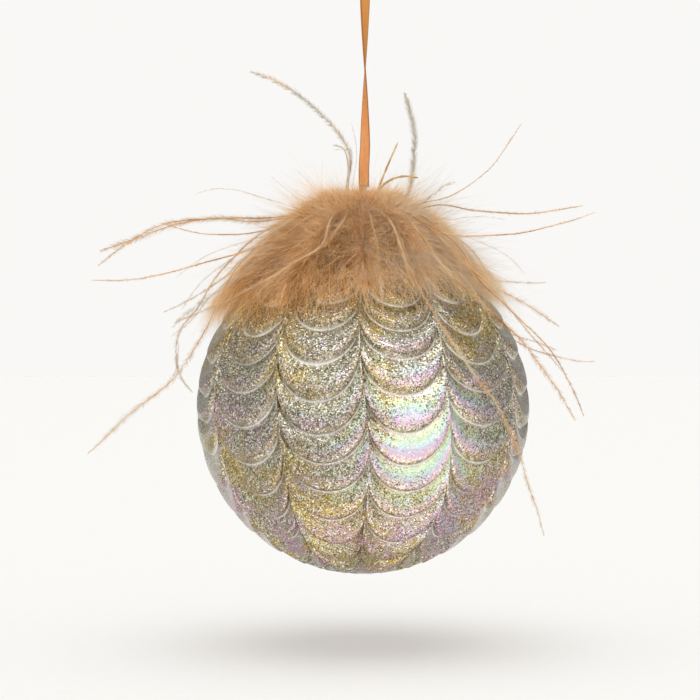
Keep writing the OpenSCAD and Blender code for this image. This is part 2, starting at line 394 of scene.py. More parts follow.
def make_ribbon():
    path = catmull(RIBBON_ROUTE, 9)
    z = path[:, 2]
    # each strand makes half a turn on its way down, edge-on in the middle
    ease = np.clip((-13.7 - z) / 60.0, 0, 1)
    n = len(path)
    back = np.arange(n) > n // 2
    phi = math.pi * ease
    across = np.stack([np.cos(phi), np.sin(phi) * np.where(back, -1, 1), np.zeros(n)], axis=1)
    # it hangs a touch to one side of the knot
    path[:, 0] += 0.65 * np.clip((z + 79) / 12, 0.45, 1) * np.clip(-z / 10, 0, 1)
    path_m = path * MM
    v, q, uv = strip(path_m, across, RIBBON_W * MM, RIBBON_T * MM)
    ob = make_mesh("satin_ribbon_loop", v, q, attrs={"wrong": np.tile(np.repeat([0.0, 1.0], 11), n)}, uvs=("weave", uv))
    fix_normals(ob)
    set_material(ob, SATIN)
    length = float(np.linalg.norm(np.diff(path_m, axis=0), axis=1).sum())
    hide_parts("ribbon_loop")
    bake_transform(ob)
    return length


RIBBON_LENGTH = make_ribbon()


def make_knot():
    """The knot: two crossed wraps round the strands over a sleeve that runs on the wire."""
    parts_v, parts_q, parts_uv, n = [], [], [], 0
    rs = np.random.default_rng(5)

    def band(path, across, width, thick):
        nonlocal n
        v, q, uv = strip(path * MM, across, width * MM, thick * MM)
        parts_v.append(v); parts_q.append(q + n); parts_uv.append(uv)
        n += len(v)

    pz = PIVOT_Z / MM
    # tightly wound inner coil of the doubled ribbon, then an outer tilted wrap
    for r0, z0, tilt, turns, width, squash in ((1.15, pz + 3.0, 0.0, 1.15, 2.5, 1.0), (1.75, pz + 2.75, 0.18, 1.2, 2.5, 0.96), (2.35, pz + 2.65, -0.16, 1.25, 2.3, 0.97)):
        a = np.linspace(0, 2 * math.pi * turns, 72) + 2.2 * r0
        r = r0 + 0.30 * np.linspace(0, 1, 72) + 0.05 * np.sin(5 * a + r0)
        x, y = r * np.cos(a), r * np.sin(a) * squash
        z = z0 + tilt * x + 0.10 * np.sin(3 * a + r0)
        path = np.stack([x, y, z], axis=1)
        lean = np.stack([0.10 * np.cos(a) * np.sin(2 * a), 0.10 * np.sin(a) * np.sin(2 * a), np.ones(72)], axis=1)
        band(path, lean, width, 0.24)
    # the sleeve: the ribbon folded round the wire
    a = np.linspace(0, 2 * math.pi * 1.08, 48)
    r = 0.98 + 0.26 * np.linspace(0, 1, 48)
    path = np.stack([np.zeros(48), r * np.sin(a), pz + r * np.cos(a)], axis=1)
    band(path, np.tile([1.0, 0.0, 0.0], (48, 1)), 2.3, 0.22)
    # the two standing strands inside the knot, from the sleeve to the loop
    for s in (-1, 1):
        path = catmull([[0, s * 1.28, pz + 0.2], [0, s * 1.35, pz + 1.4], [0.1 * s, s * 0.9, pz + 2.4], [0, s * 0.75, pz + 3.6], [0, s * 1.2, pz + 4.7], [0, s * 1.72, pz + 5.25]], 5)
        band(path, np.tile([1.0, 0.0, 0.0], (len(path), 1)), 2.3, 0.22)
    ob = make_mesh("satin_ribbon_knot", np.concatenate(parts_v), np.concatenate(parts_q), uvs=("weave", np.concatenate(parts_uv)))
    fix_normals(ob)
    set_material(ob, SATIN)
    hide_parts("ribbon_knot")
    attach(ob, "knot")


make_knot()


# ------------------------------------------------------------------ the ball
def glitter_material():
    m, nt, p = new_material("glitter_glass")
    co = object_coords(nt)
    sep = node(nt, "ShaderNodeSeparateXYZ", {0: co})
    crest = attribute(nt, "crease")
    drape = attribute(nt, "drape")
    band = attribute(nt, "band")                          # 0 at the top of a swag, 1 at its foot
    # flakes, two sizes
    big = node(nt, "ShaderNodeTexVoronoi", {"Vector": co, "Scale": 3050.0, "Randomness": 1.0}, feature="F1")
    fine = node(nt, "ShaderNodeTexVoronoi", {"Vector": co, "Scale": 5000.0, "Randomness": 1.0}, feature="F1")
    rnd = node(nt, "ShaderNodeSeparateColor", {0: big.outputs["Color"]})
    rnd2 = node(nt, "ShaderNodeSeparateColor", {0: fine.outputs["Color"]})
    # how golden: cloudy, strong by the neck and low on the ball
    cloud = node(nt, "ShaderNodeTexNoise", {"Vector": co, "Scale": 62.0, "Detail": 3.0, "Roughness": 0.55}).outputs[0]
    cloud2 = node(nt, "ShaderNodeTexNoise", {"Vector": vmath(nt, "ADD", co, (0.31, 0.12, 0.77)), "Scale": 95.0, "Detail": 2.0, "Roughness": 0.5}).outputs[0]
    height = math_node(nt, "MULTIPLY_ADD", sep.outputs[2], 20.0, -20.0 * BALL_Z)                  # -1 at the foot, 1 at the top
    ends = math_node(nt, "ADD", math_node(nt, "MULTIPLY", math_node(nt, "MAXIMUM", height, 0.0), 0.75),
                     math_node(nt, "MULTIPLY", math_node(nt, "MAXIMUM", math_node(nt, "MULTIPLY", height, -1.0), 0.0), 0.25))
    belt = math_node(nt, "MULTIPLY", math_node(nt, "ADD", height, -0.12), 3.2)
    belt = math_node(nt, "EXPONENT", math_node(nt, "MULTIPLY", math_node(nt, "MULTIPLY", belt, belt), -1.0))
    gold = math_node(nt, "ADD", math_node(nt, "MULTIPLY_ADD", cloud, 4.4, -1.80), ends)
    gold = math_node(nt, "SUBTRACT", gold, math_node(nt, "MULTIPLY", belt, 0.45))
    gold = math_node(nt, "MAXIMUM", math_node(nt, "MINIMUM", gold, 0.95), 0.06)
    silver_c = ramp(nt, rnd.outputs[0], [(0.0, (0.10, 0.080, 0.042)), (0.25, (0.230, 0.201, 0.137)), (0.6, (0.335, 0.304, 0.226)), (0.85, (0.46, 0.431, 0.350)), (1.0, (0.93, 0.88, 0.76))])
    gold_c = ramp(nt, rnd.outputs[1], [(0.0, (0.08, 0.045, 0.006)), (0.25, (0.26, 0.165, 0.028)), (0.6, (0.41, 0.285, 0.060)), (0.85, (0.55, 0.415, 0.125)), (1.0, (1.0, 0.87, 0.47))])
    pick = math_node(nt, "GREATER_THAN", gold, rnd2.outputs[0])
    col = mix_colour(nt, pick, silver_c, gold_c)
    # painted shade: darker olive at the foot of each drape, in the recess under its fold
    col = mix_colour(nt, math_node(nt, "MULTIPLY", drape, math_node(nt, "MULTIPLY_ADD", cloud, 0.9, -0.12, clamp=True)), col, (0.22, 0.160, 0.055))
    # deep red and violet flakes in clouds, mostly low down
    cloud3 = node(nt, "ShaderNodeTexNoise", {"Vector": vmath(nt, "ADD", co, (0.93, 0.41, 0.17)), "Scale": 70.0, "Detail": 2.0, "Roughness": 0.5}).outputs[0]
    deepness = math_node(nt, "MULTIPLY", math_node(nt, "MULTIPLY_ADD", cloud3, 4.2, -1.85, clamp=True), math_node(nt, "MULTIPLY_ADD", height, -0.60, 0.34, clamp=True))
    dhue = math_node(nt, "FRACT", math_node(nt, "MULTIPLY_ADD", rnd2.outputs[1], 0.48, 0.68))
    deep = node(nt, "ShaderNodeCombineColor", {0: dhue, 1: math_node(nt, "MULTIPLY_ADD", rnd.outputs[0], 0.45, 0.30), 2: math_node(nt, "MULTIPLY_ADD", rnd2.outputs[2], 0.62, 0.16)}, mode="HSV").outputs[0]
    col = mix_colour(nt, math_node(nt, "GREATER_THAN", deepness, rnd2.outputs[0]), col, deep)
    # painted reflection: a darker, greyer patch low on the front left, standing in for something dark mirrored in the
    # glass
    off = vmath(nt, "SCALE", vmath(nt, "SUBTRACT", co, tuple(np.array([-0.26, -0.92, -0.26]) * BALL_R + BALL_C)), scale=1 / (0.34 * BALL_R))
    near = nt.nodes.new("ShaderNodeVectorMath")
    near.operation = "DOT_PRODUCT"
    nt.links.new(off, near.inputs[0])
    nt.links.new(off, near.inputs[1])
    dark_reflection_spot = math_node(nt, "EXPONENT", math_node(nt, "MULTIPLY", near.outputs["Value"], -1.0))
    col = mix_colour(nt, math_node(nt, "MULTIPLY", dark_reflection_spot, 0.30), col, (0.16, 0.145, 0.115))
    # dark gaps between flakes
    gap = math_node(nt, "MULTIPLY", math_node(nt, "LESS_THAN", rnd.outputs[2], 0.15), 0.85)
    col = mix_colour(nt, gap, col, (0.07, 0.05, 0.018))
    # pearly flakes, the glitter's own iridescence and painted highlight both: pale rainbow hues run in bands down each
    # swag, in three broad patches round the ball, the front-right one where a lamp glints
    glint_spots = None
    for ax, ay, az in ((0.35, -0.93, -0.14), (0.66, 0.70, -0.20), (-0.93, 0.30, -0.05)):
        off = vmath(nt, "SCALE", vmath(nt, "SUBTRACT", co, tuple(np.array([ax, ay, az]) * BALL_R + BALL_C)), scale=1 / (0.37 * BALL_R))
        near = nt.nodes.new("ShaderNodeVectorMath")
        near.operation = "DOT_PRODUCT"
        nt.links.new(off, near.inputs[0])
        nt.links.new(off, near.inputs[1])
        one = math_node(nt, "EXPONENT", math_node(nt, "MULTIPLY", near.outputs["Value"], -1.0))
        glint_spots = one if glint_spots is None else math_node(nt, "MAXIMUM", glint_spots, one)
    glint_spots = math_node(nt, "MULTIPLY", glint_spots, math_node(nt, "MULTIPLY_ADD", cloud2, 2.6, -0.42, clamp=True))
    up = math_node(nt, "SUBTRACT", 1.0, math_node(nt, "MULTIPLY", drape, 0.85))
    share = math_node(nt, "MULTIPLY_ADD", math_node(nt, "MULTIPLY", glint_spots, up), 1.15, 0.07, clamp=True)
    shown = math_node(nt, "GREATER_THAN", share, rnd.outputs[1])
    hue = math_node(nt, "ADD", math_node(nt, "MULTIPLY_ADD", band, 1.15, 0.06), math_node(nt, "MULTIPLY_ADD", cloud2, 0.8, -0.4))
    hue = math_node(nt, "FRACT", math_node(nt, "ADD", hue, math_node(nt, "MULTIPLY_ADD", rnd2.outputs[1], 0.34, 0.83)))
    sat = math_node(nt, "MULTIPLY_ADD", rnd.outputs[2], 0.56, 0.07)
    pearl_and_glint = node(nt, "ShaderNodeCombineColor", {0: hue, 1: sat, 2: 0.72}, mode="HSV").outputs[0]
    pearl_and_glint = mix_colour(nt, 0.22, pearl_and_glint, (0.80, 0.72, 0.54))
    col = mix_colour(nt, math_node(nt, "MULTIPLY", shown, 0.92), col, pearl_and_glint)
    # the creases between the swags: clear, thick glass, and a painted highlight that colours each crease line pale
    crease_shows = math_node(nt, "MULTIPLY_ADD", cloud2, 1.8, -0.12, clamp=True)
    line = math_node(nt, "MULTIPLY", crest, crease_shows)
    col = mix_colour(nt, math_node(nt, "MULTIPLY", line, 0.95), col, (0.80, 0.78, 0.74))
    nt.links.new(col, p.inputs["Base Color"])
    metal = math_node(nt, "MULTIPLY_ADD", line, -0.6, 0.84, clamp=True)
    nt.links.new(metal, p.inputs["Metallic"])
    p.inputs["Specular Tint"].default_value = (0.62, 0.59, 0.53, 1)
    rough = math_node(nt, "MULTIPLY_ADD", rnd.outputs[2], 0.28, 0.24)
    nt.links.new(rough, p.inputs["Roughness"])
    # every flake lies at its own angle
    nrm = node(nt, "ShaderNodeNewGeometry").outputs["Normal"]
    t1 = vmath(nt, "SUBTRACT", big.outputs["Color"], (0.5, 0.5, 0.5))
    t2 = vmath(nt, "SUBTRACT", fine.outputs["Color"], (0.5, 0.5, 0.5))
    tilt = vmath(nt, "ADD", vmath(nt, "SCALE", t1, scale=0.52), vmath(nt, "SCALE", t2, scale=0.40))
    nrm = vmath(nt, "NORMALIZE", vmath(nt, "ADD", nrm, tilt))
    nt.links.new(nrm, p.inputs["Normal"])
    p.inputs["Coat Weight"].default_value = 0.7
    p.inputs["Coat Roughness"].default_value = 0.035
    p.inputs["Coat IOR"].default_value = 1.45
    return m


SWAG_PITCH = math.radians(11.2)
SWAG_DEPTH = math.radians(16.5)


def make_ball():
    cols, per = 12, 28
    k = np.arange(per)
    u = (1 - np.cos(math.pi * k / per)) / 2
    u = 0.80 * u + 0.20 * k / per
    f = np.sqrt(np.maximum(1 - (2 * u - 1) ** 2, 0)) ** 0.94
    U = np.tile(u, cols)
    Fv = np.tile(f, cols)
    col = np.repeat(np.arange(cols), per)
    phi = (col + U) * 2 * math.pi / cols - math.pi / 2        # a cusp line faces -Y
    n = cols * per
    s_rows = np.array([0, .024, .060, .13, .24, .36, .48, .59, .69, .76, .83, .90, .955, .984])
    first = math.radians(10.0)
    start = -((first - (math.radians(85.5) - SWAG_DEPTH)) / SWAG_PITCH)
    theta0, srow = [], []
    j = -int(math.ceil(start)) - 1
    while True:
        done = False
        for s in s_rows:
            th = (math.radians(85.5) - SWAG_DEPTH) + (j + s) * SWAG_PITCH
            if th < first:
                continue
            if th > math.radians(178.6):
                done = True
                break
            theta0.append(th)
            srow.append(s)
        if done:
            break
        j += 1
    theta0, srow = np.array(theta0), np.array(srow)
    d0 = math.radians
    D = SWAG_DEPTH * np.clip((theta0 - d0(10)) / d0(17), 0, 1) * np.clip((d0(179.5) - theta0) / d0(42), 0, 1)
    # a blown ball isn't regular: the columns hang a little differently
    rs = np.random.default_rng(11)
    lag = rs.uniform(-1, 1, cols) * d0(1.6)
    deep = 1 + rs.uniform(-0.12, 0.10, cols)
    beat, phase = rs.uniform(5.5, 9.0, cols), rs.uniform(0, 2 * math.pi, cols)
    edge = np.clip((theta0 - d0(14)) / d0(14), 0, 1) * np.clip((d0(174) - theta0) / d0(22), 0, 1)
    sway = d0(1.3) * np.sin(theta0[:, None] * beat[col][None] + phase[col][None]) * Fv[None]
    Th = theta0[:, None] + D[:, None] * Fv[None] * deep[col][None] + ((lag[col] * Fv)[None] + sway) * edge[:, None]
    # the cusps wander a little from side to side
    bphase = rs.uniform(0, 2 * math.pi, cols)
    lo = 0.030 * np.sin(theta0[:, None] * 3.7 + bphase[col][None])
    hi = 0.030 * np.sin(theta0[:, None] * 3.7 + bphase[(col + 1) % cols][None])
    PHI = phi[None] + (lo * (1 - U)[None] + hi * U[None]) * edge[:, None]
    S = np.repeat(srow[:, None], n, axis=1)
    peak = 0.76
    h = np.where(S < peak, np.sin(math.pi / 2 * np.clip(S / peak, 0, 1)) ** 0.85, np.cos(math.pi / 2 * np.clip((S - peak) / (1 - peak), 0, 1)) ** 0.8)
    # relief fades out at the neck and the pole
    fade = np.clip((Th - d0(11)) / d0(12), 0, 1) * np.clip((d0(179) - Th) / d0(17), 0, 1)
    fade = fade * fade * (3 - 2 * fade)
    near = np.minimum(U, 1 - U)[None] * (2 * math.pi / cols) * np.sin(np.clip(Th, 0.05, math.pi - 0.05)) * BALL_R / MM
    w = np.clip(near / 2.4, 0, 1)
    w = w * w * (3 - 2 * w)
    ridge = 0.62 + 0.20 * np.exp(-(near / 0.9) ** 2)
    rel = w * h + (1 - w) * (0.55 * ridge + 0.45 * h)
    A = 1.80 * MM
    r = BALL_R - 1.75 * MM + A * rel * fade + (1 - fade) * 1.75 * MM
    # crease: the crease lines, which the material paints pale as clear glass and painted highlight
    crease = np.where(S < 0.5, np.exp(-(S / 0.042) ** 2), np.exp(-((1 - S) / 0.036) ** 2)) * (0.45 + 0.55 * w) * fade
    # drape: the foot of each swag, under its fold, where the material paints shade
    drape = np.clip((S - 0.74) / 0.12, 0, 1) * (0.25 + 0.75 * w) * fade
    X = r * np.sin(Th) * np.cos(PHI)
    Y = r * np.sin(Th) * np.sin(PHI)
    Z = BALL_Z + r * np.cos(Th)
    rows = [np.stack([X[i], Y[i], Z[i]], axis=1) for i in range(len(theta0))]
    crs = [crease[i] for i in range(len(theta0))]
    drs = [drape[i] for i in range(len(theta0))]
    bds = [S[i] for i in range(len(theta0))]
    # neck: fillet, wall, rolled lip and bore, then the inner surface
    zb, zt = BALL_Z / MM, NECK_TOP / MM
    prof = [(7.9, zb + 49.36), (7.2, zb + 49.62), (6.7, zb + 50.05), (6.45, zb + 50.7), (6.4, zb + 51.6), (6.4, zt - 1.2), (6.4, zt - 0.5), (6.3, zt - 0.14), (6.05, zt),
            (5.8, zt - 0.08), (5.62, zt - 0.35), (5.5, zt - 0.9), (5.5, zb + 50.2), (5.6, zb + 49.2), (6.3, zb + 48.1)]
    ri = 47.5
    inner = [(ri * math.sin(a), zb + ri * math.cos(a)) for a in np.radians([9.5, 14, 20, 28, 37, 46, 55, 64, 73, 82, 91, 100, 109, 118, 127, 136, 145, 153, 160, 166, 171, 175, 178])]

    def circle(rr, zz):
        return np.stack([rr * MM * np.cos(phi), rr * MM * np.sin(phi), np.full(n, zz * MM)], axis=1)

    neck_rows = [circle(a, b) for a, b in prof]
    inner_rows = [circle(a, b) for a, b in inner]
    # order: inner pole .. inner rows .. bore .. lip .. neck .. outer rows .. outer pole
    order = inner_rows[::-1] + neck_rows[::-1] + rows
    extra = len(inner_rows) + len(neck_rows)
    V = np.concatenate(order)
    cr = np.concatenate([np.zeros(extra * n)] + crs)
    dr = np.concatenate([np.zeros(extra * n)] + drs)
    bd = np.concatenate([np.zeros(extra * n)] + bds)
    R = len(order)
    i, jx = np.meshgrid(np.arange(R - 1), np.arange(n), indexing="ij")
    a = i * n + jx
    b = i * n + (jx + 1) % n
    quads = np.stack([a, b, b + n, a + n], axis=-1).reshape(-1, 4)
    V = np.concatenate([V, [[0, 0, BALL_Z - ri * MM], [0, 0, BALL_Z - BALL_R]]])
    cr = np.concatenate([cr, [0, 0]])
    dr = np.concatenate([dr, [0, 0]])
    bd = np.concatenate([bd, [0, 0]])
    p_in, p_out = R * n, R * n + 1
    jj = np.arange(n)
    t_in = np.stack([np.full(n, p_in), (jj + 1) % n, jj], axis=1)
    last = (R - 1) * n
    t_out = np.stack([np.full(n, p_out), last + jj, last + (jj + 1) % n], axis=1)
    ob = make_mesh("glass_ball_relief", V, quads, np.concatenate([t_in, t_out]), {"crease": cr, "drape": dr, "band": bd})
    fix_normals(ob)
    set_material(ob, glitter_material())
    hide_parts("glass_ball")
    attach(ob, "ball")


make_ball()


# ------------------------------------------------------------------ feathers
def fibre_material(name, dark, mid, pale, grey, sheen=0.5, rough=0.6):
    m, nt, p = new_material(name)
    tone = attribute(nt, "tone")
    co = object_coords(nt)
    blotch = node(nt, "ShaderNodeTexNoise", {"Vector": co, "Scale": 95.0, "Detail": 3.0, "Roughness": 0.6}).outputs[0]
    grain = node(nt, "ShaderNodeTexNoise", {"Vector": co, "Scale": 1800.0, "Detail": 2.0}).outputs[0]
    fac = math_node(nt, "ADD", tone, math_node(nt, "MULTIPLY_ADD", blotch, 1.35, -0.66))
    fac = math_node(nt, "ADD", fac, math_node(nt, "MULTIPLY_ADD", grain, 0.16, -0.08), clamp=True)
    nt.links.new(ramp(nt, fac, [(0.0, dark), (0.42, mid), (0.78, pale), (1.0, grey)]), p.inputs["Base Color"])
    nt.links.new(math_node(nt, "MULTIPLY_ADD", grain, 0.25, rough - 0.12), p.inputs["Roughness"])
    p.inputs["Sheen Weight"].default_value = sheen
    p.inputs["Sheen Roughness"].default_value = 0.4
    p.inputs["Specular IOR Level"].default_value = 0.15
    return m


MARABOU = fibre_material("marabou_fibre", (0.42, 0.165, 0.038), (0.97, 0.55, 0.205), (0.98, 0.77, 0.50), (0.64, 0.54, 0.43), sheen=0.0)
OSTRICH = fibre_material("ostrich_fibre", (0.24, 0.10, 0.022), (0.58, 0.31, 0.115), (0.70, 0.50, 0.31), (0.58, 0.52, 0.43), sheen=0.0)
QUILL = fibre_material("quill_horn", (0.26, 0.135, 0.032), (0.46, 0.27, 0.085), (0.66, 0.47, 0.22), (0.50, 0.44, 0.36), sheen=0.0, rough=0.4)


def clear_of_neighbours(P, low=50.35):
    """Keeps fibres outside the glass, and outside the room in which the knot and ribbon swing."""
    P = P.copy()
    d = P - np.array([0, 0, BALL_Z / MM])
    r = np.linalg.norm(d, axis=-1, keepdims=True)
    P = np.where(r < low, np.array([0, 0, BALL_Z / MM]) + d / np.maximum(r, 1e-9) * low, P)
    rho = np.linalg.norm(P[..., :2], axis=-1, keepdims=True)
    z = P[..., 2:3]
    need = np.where(z > -91.5, 6.5 + np.maximum(z + 82.2, 0) * 1.16, 0.0)
    scale = np.where(rho < need, need / np.maximum(rho, 0.5), 1.0)
    P[..., :2] = P[..., :2] * scale
    return P


KNOTS = np.array([0, 0.34, 0.68, 1.0])       # where along a fibre its rings are


def envelope(theta):
    """How far the fluff stands from the middle of the ball, in mm, at that many degrees from the top."""
    return np.interp(theta, [0, 11, 20, 28, 35, 40, 45, 52, 60, 75], [70.5, 67.6, 65.0, 62.2, 59.0, 56.8, 55.6, 53.8, 52.8, 52.0])


def crown_top(x):
    """Height of the fluff's top edge across its width, in mm: it stands highest beside the ribbon, on one side."""
    return np.interp(x, [-46, -38.6, -32, -29, -23, -16, -11.7, -5, 4, 10, 14, 20.6, 27, 30.5, 34, 46],
                     [-112, -104.5, -97.5, -92.5, -86.8, -81.6, -78.4, -76.0, -76.0, -78.4, -82.6, -86.6, -92.0, -97.5, -103, -114])


def reach(az):
    """How far down the ball the dense down reaches, in degrees from the top, at an angle round it."""
    off = np.degrees(np.arctan2(np.sin(az + math.radians(94)), np.cos(az + math.radians(94))))
    return 50.0 - 4.4 * np.cos(az) + 1.6 * np.exp(-(off / 30) ** 2) + 1.2 * np.cos(3 * az + 0.6)


def shape_fluff(P, rs, spill=1.0):
    """Shortens fibres, as N x K x 3 in mm, so that they end inside the fluff's outline, softly, and off their neighbours."""
    C = np.array([0, 0, BALL_Z / MM])
    N = len(P)
    d = P - C
    r = np.linalg.norm(d, axis=-1)
    theta = np.degrees(np.arccos(np.clip(d[..., 2] / r, -1, 1)))
    azp = np.arctan2(d[..., 1], d[..., 0])
    u = rs.uniform(0, 1, (3, N))
    past = (-2.4 + 3.0 * u[0] + 9.5 * spill * u[0] ** 7)[:, None]
    above = (-4.0 + 5.0 * u[1] + 8.0 * spill * u[1] ** 7)[:, None]
    # it thins out downwards: each fibre has its own limit
    lower = reach(azp) + (-5.0 + 14.0 * u[2] ** 1.5)[:, None]
    k = np.ones(N)
    slim = 1.7 * np.clip(np.cos(azp), 0, 1) * np.clip((theta - 24) / 14, 0, 1)      # flatter on one side
    for over in (r - envelope(theta) + slim - past, P[..., 2] - crown_top(P[..., 0]) - above, (theta - lower) * 0.9):
        for j in range(P.shape[1] - 1, 0, -1):
            a, b = over[:, j - 1], over[:, j]
            cross = (b > 0) & (a <= 0)
            at = KNOTS[j - 1] + (KNOTS[j] - KNOTS[j - 1]) * (-a) / np.maximum(b - a, 1e-6)
            k = np.where(cross, np.minimum(k, at), k)
        k = np.where(over[:, 0] > 0, np.minimum(k, 0.25), k)
    k = np.maximum(k, 0.16)[:, None, None]
    P = P[:, :1] + (P - P[:, :1]) * k
    return clear_of_neighbours(P)


def plume(azimuth, layer, seed, count):
    """One marabou plume: its shaft and its barbs, as arrays in mm."""
    rs = np.random.default_rng(seed)
    base, rise = (53.0, 1.2) if layer == 0 else (56.0, 3.0)
    end = (48.5 + rs.uniform(-3, 3)) if layer == 0 else (38 + rs.uniform(-3, 3))
    end += -3.4 * math.cos(math.radians(azimuth))
    curl = rs.uniform(-8, 8)
    t = np.linspace(0, 1, 25)
    th = np.radians(10.5 + (end - 10.5) * t)
    rr = base + rise * np.sin(math.pi * np.minimum(t * 1.1, 1)) - (1.6 if layer else 0.6) * t ** 2
    az = np.radians(azimuth + curl * t ** 2)
    C = np.array([0, 0, BALL_Z / MM])
    shaft = C + np.stack([rr * np.sin(th) * np.cos(az), rr * np.sin(th) * np.sin(az), rr * np.cos(th)], axis=1)
    N = count
    t0 = rs.uniform(0.0, 1.0, N) ** 0.95
    idx = t0 * 24
    i0 = np.minimum(idx.astype(int), 23)
    fr = (idx - i0)[:, None]
    P0 = shaft[i0] * (1 - fr) + shaft[i0 + 1] * fr
    T = unit(shaft[i0 + 1] - shaft[i0])
    Nn = unit(P0 - C)
    B = np.cross(Nn, T)
    side = rs.choice([-1.0, 1.0], N)[:, None]
    # down spreads round its shaft like a brush, leaning to the tip; some of it stands off at random
    kind = rs.uniform(0, 1, N)
    beta = np.where(kind < 0.45, np.abs(rs.normal(30, 15, N)), np.where(kind < 0.80, rs.normal(40, 16, N), rs.uniform(35, 105, N)))
    beta = np.radians(np.clip(beta, 3, 105))[:, None]
    gamma = np.radians(np.where((kind >= 0.45) & (kind < 0.80), rs.uniform(40, 90, N), rs.uniform(-14, 90, N)))[:, None]
    d0 = unit(T * np.cos(beta) + (side * B * np.cos(gamma) + Nn * np.sin(gamma)) * np.sin(beta))
    L = ((19.0 if layer == 0 else 20.0) * (0.40 + 0.75 * rs.uniform(0, 1, N)) * (1 - 0.22 * t0))[:, None]
    P = np.empty((N, 4, 3))
    twist = rs.normal(0, 1, (N, 3)) * 0.13
    wave = rs.normal(0, 1, (N, 3))
    ph = rs.uniform(0, 2 * math.pi, N)[:, None]
    for j, x in enumerate(KNOTS):
        down = np.array([0, 0, -1.0]) * 0.10 + T * 0.10 - Nn * 0.05
        P[:, j] = P0 + d0 * L * x + (down + twist) * L * x * x + wave * 0.28 * np.sin(x * 5 + ph) * x
    return shaft, shape_fluff(P, rs), t0, rs


def add_barbs(bundle, P, rs, r0=0.034, r1=0.012, tone0=0.30, tone1=0.80, spread=0.27, sides=3):
    N, K = P.shape[:2]
    R = (np.linspace(r0, r1, K)[None] * rs.choice([0.6, 0.85, 1.15, 1.7], N, p=[0.3, 0.35, 0.25, 0.10])[:, None])
    v, q, t, along, who = strands(P * MM, R * MM, sides, seed=int(rs.integers(1 << 30)))
    own = rs.normal(0, spread, N)
    # painted shade: each fibre is darker at its root, deep in the down, and paler at its tip; darker again in by the
    # neck, where the down is thickest, and darker on the left side, lighter on the right, as the light falls
    rho = np.linalg.norm(v[:, :2], axis=1) / MM
    deep = 0.13 * np.exp(-((rho - 15) / 9) ** 2) - 0.26 * np.clip(v[:, 0] / MM / 22, -0.62, 1)
    tone = np.clip(tone0 + (tone1 - tone0) * along ** 1.3 + own[who] - deep, 0, 1)
    bundle.add(v, q, t, tone=tone)


def add_shaft(bundle, path, r0, r1, tone, seed=0, sides=6):
    K = len(path)
    R = np.linspace(r0, r1, K)[None]
    v, q, t, along, who = strands(path[None] * MM, R * MM, sides, seed=seed)
    bundle.add(v, q, t, tone=np.full(len(v), tone))


DENSITY = 1.0
LOWER = {"front": (-120, -90, -60), "right": (-30, 0, 30), "back": (60, 90, 120), "left": (150, 180, 210)}
UPPER = {"front": (-157.5, -112.5, -67.5, -22.5), "back": (22.5, 67.5, 112.5, 157.5)}


def make_plumes():
    seed = 100
    for group, angles in LOWER.items():
        b = Bundle()
        for a in angles:
            seed += 1
            shaft, P, t0, rs = plume(a, 0, seed, int(3900 * DENSITY))
            add_shaft(b, shaft, 0.26, 0.07, 0.05, seed)
            add_barbs(b, P, rs, tone0=0.14, tone1=0.66)
        ob = b.make("marabou_lower_" + group)
        set_material(ob, MARABOU)
        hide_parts("plumes_lower_" + group)
        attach(ob, "cap")
    for group, angles in UPPER.items():
        b = Bundle()
        for a in angles:
            seed += 1
            shaft, P, t0, rs = plume(a, 1, seed, int(2950 * DENSITY))
            add_shaft(b, shaft, 0.24, 0.06, 0.08, seed)
            add_barbs(b, P, rs, tone0=0.22, tone1=0.78)
        ob = b.make("marabou_upper_" + group)
        set_material(ob, MARABOU)
        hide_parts("plumes_upper_" + group)
        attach(ob, "cap")


def down_piece(name, P_list):
    """One piece of loose down: P_list holds (fibres, rs, look) for each kind in it."""
    b = Bundle()
    for P, rs, look in P_list:
        add_barbs(b, P, rs, **look)
    ob = b.make(name)
    set_material(ob, MARABOU)
    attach(ob, "cap")


def tufts(N, rs, rho0, rho1, z0, z1, el0, el1, l0, l1, swirl=0.45):
    """Short down that springs from a ring round the neck, in mm."""
    az = rs.uniform(0, 2 * math.pi, N)
    out = np.stack([np.cos(az), np.sin(az), np.zeros(N)], axis=1)
    u = rs.uniform(0, 1, N) ** 1.3
    P0 = out * (rho0 + (rho1 - rho0) * u)[:, None] + np.array([0, 0, 1.0]) * (rs.uniform(z0, z1, N) - 0.25 * (rho1 - rho0) * u)[:, None]
    el = np.radians(rs.uniform(el0, el1, N))[:, None]
    tang = np.stack([-np.sin(az), np.cos(az), np.zeros(N)], axis=1)
    d0 = unit(out * np.cos(el) + np.array([0, 0, 1.0]) * np.sin(el) + tang * rs.normal(0, swirl, N)[:, None])
    L = rs.uniform(l0, l1, N)[:, None]
    P = np.empty((N, 4, 3))
    bend = out * 0.16 + np.array([0, 0, -0.10]) + rs.normal(0, 0.16, (N, 3))
    wave = rs.normal(0, 1, (N, 3))
    for j, x in enumerate(KNOTS):
        P[:, j] = P0 + d0 * L * x + bend * L * x * x + wave * 0.25 * math.sin(5 * x) * x
    return P


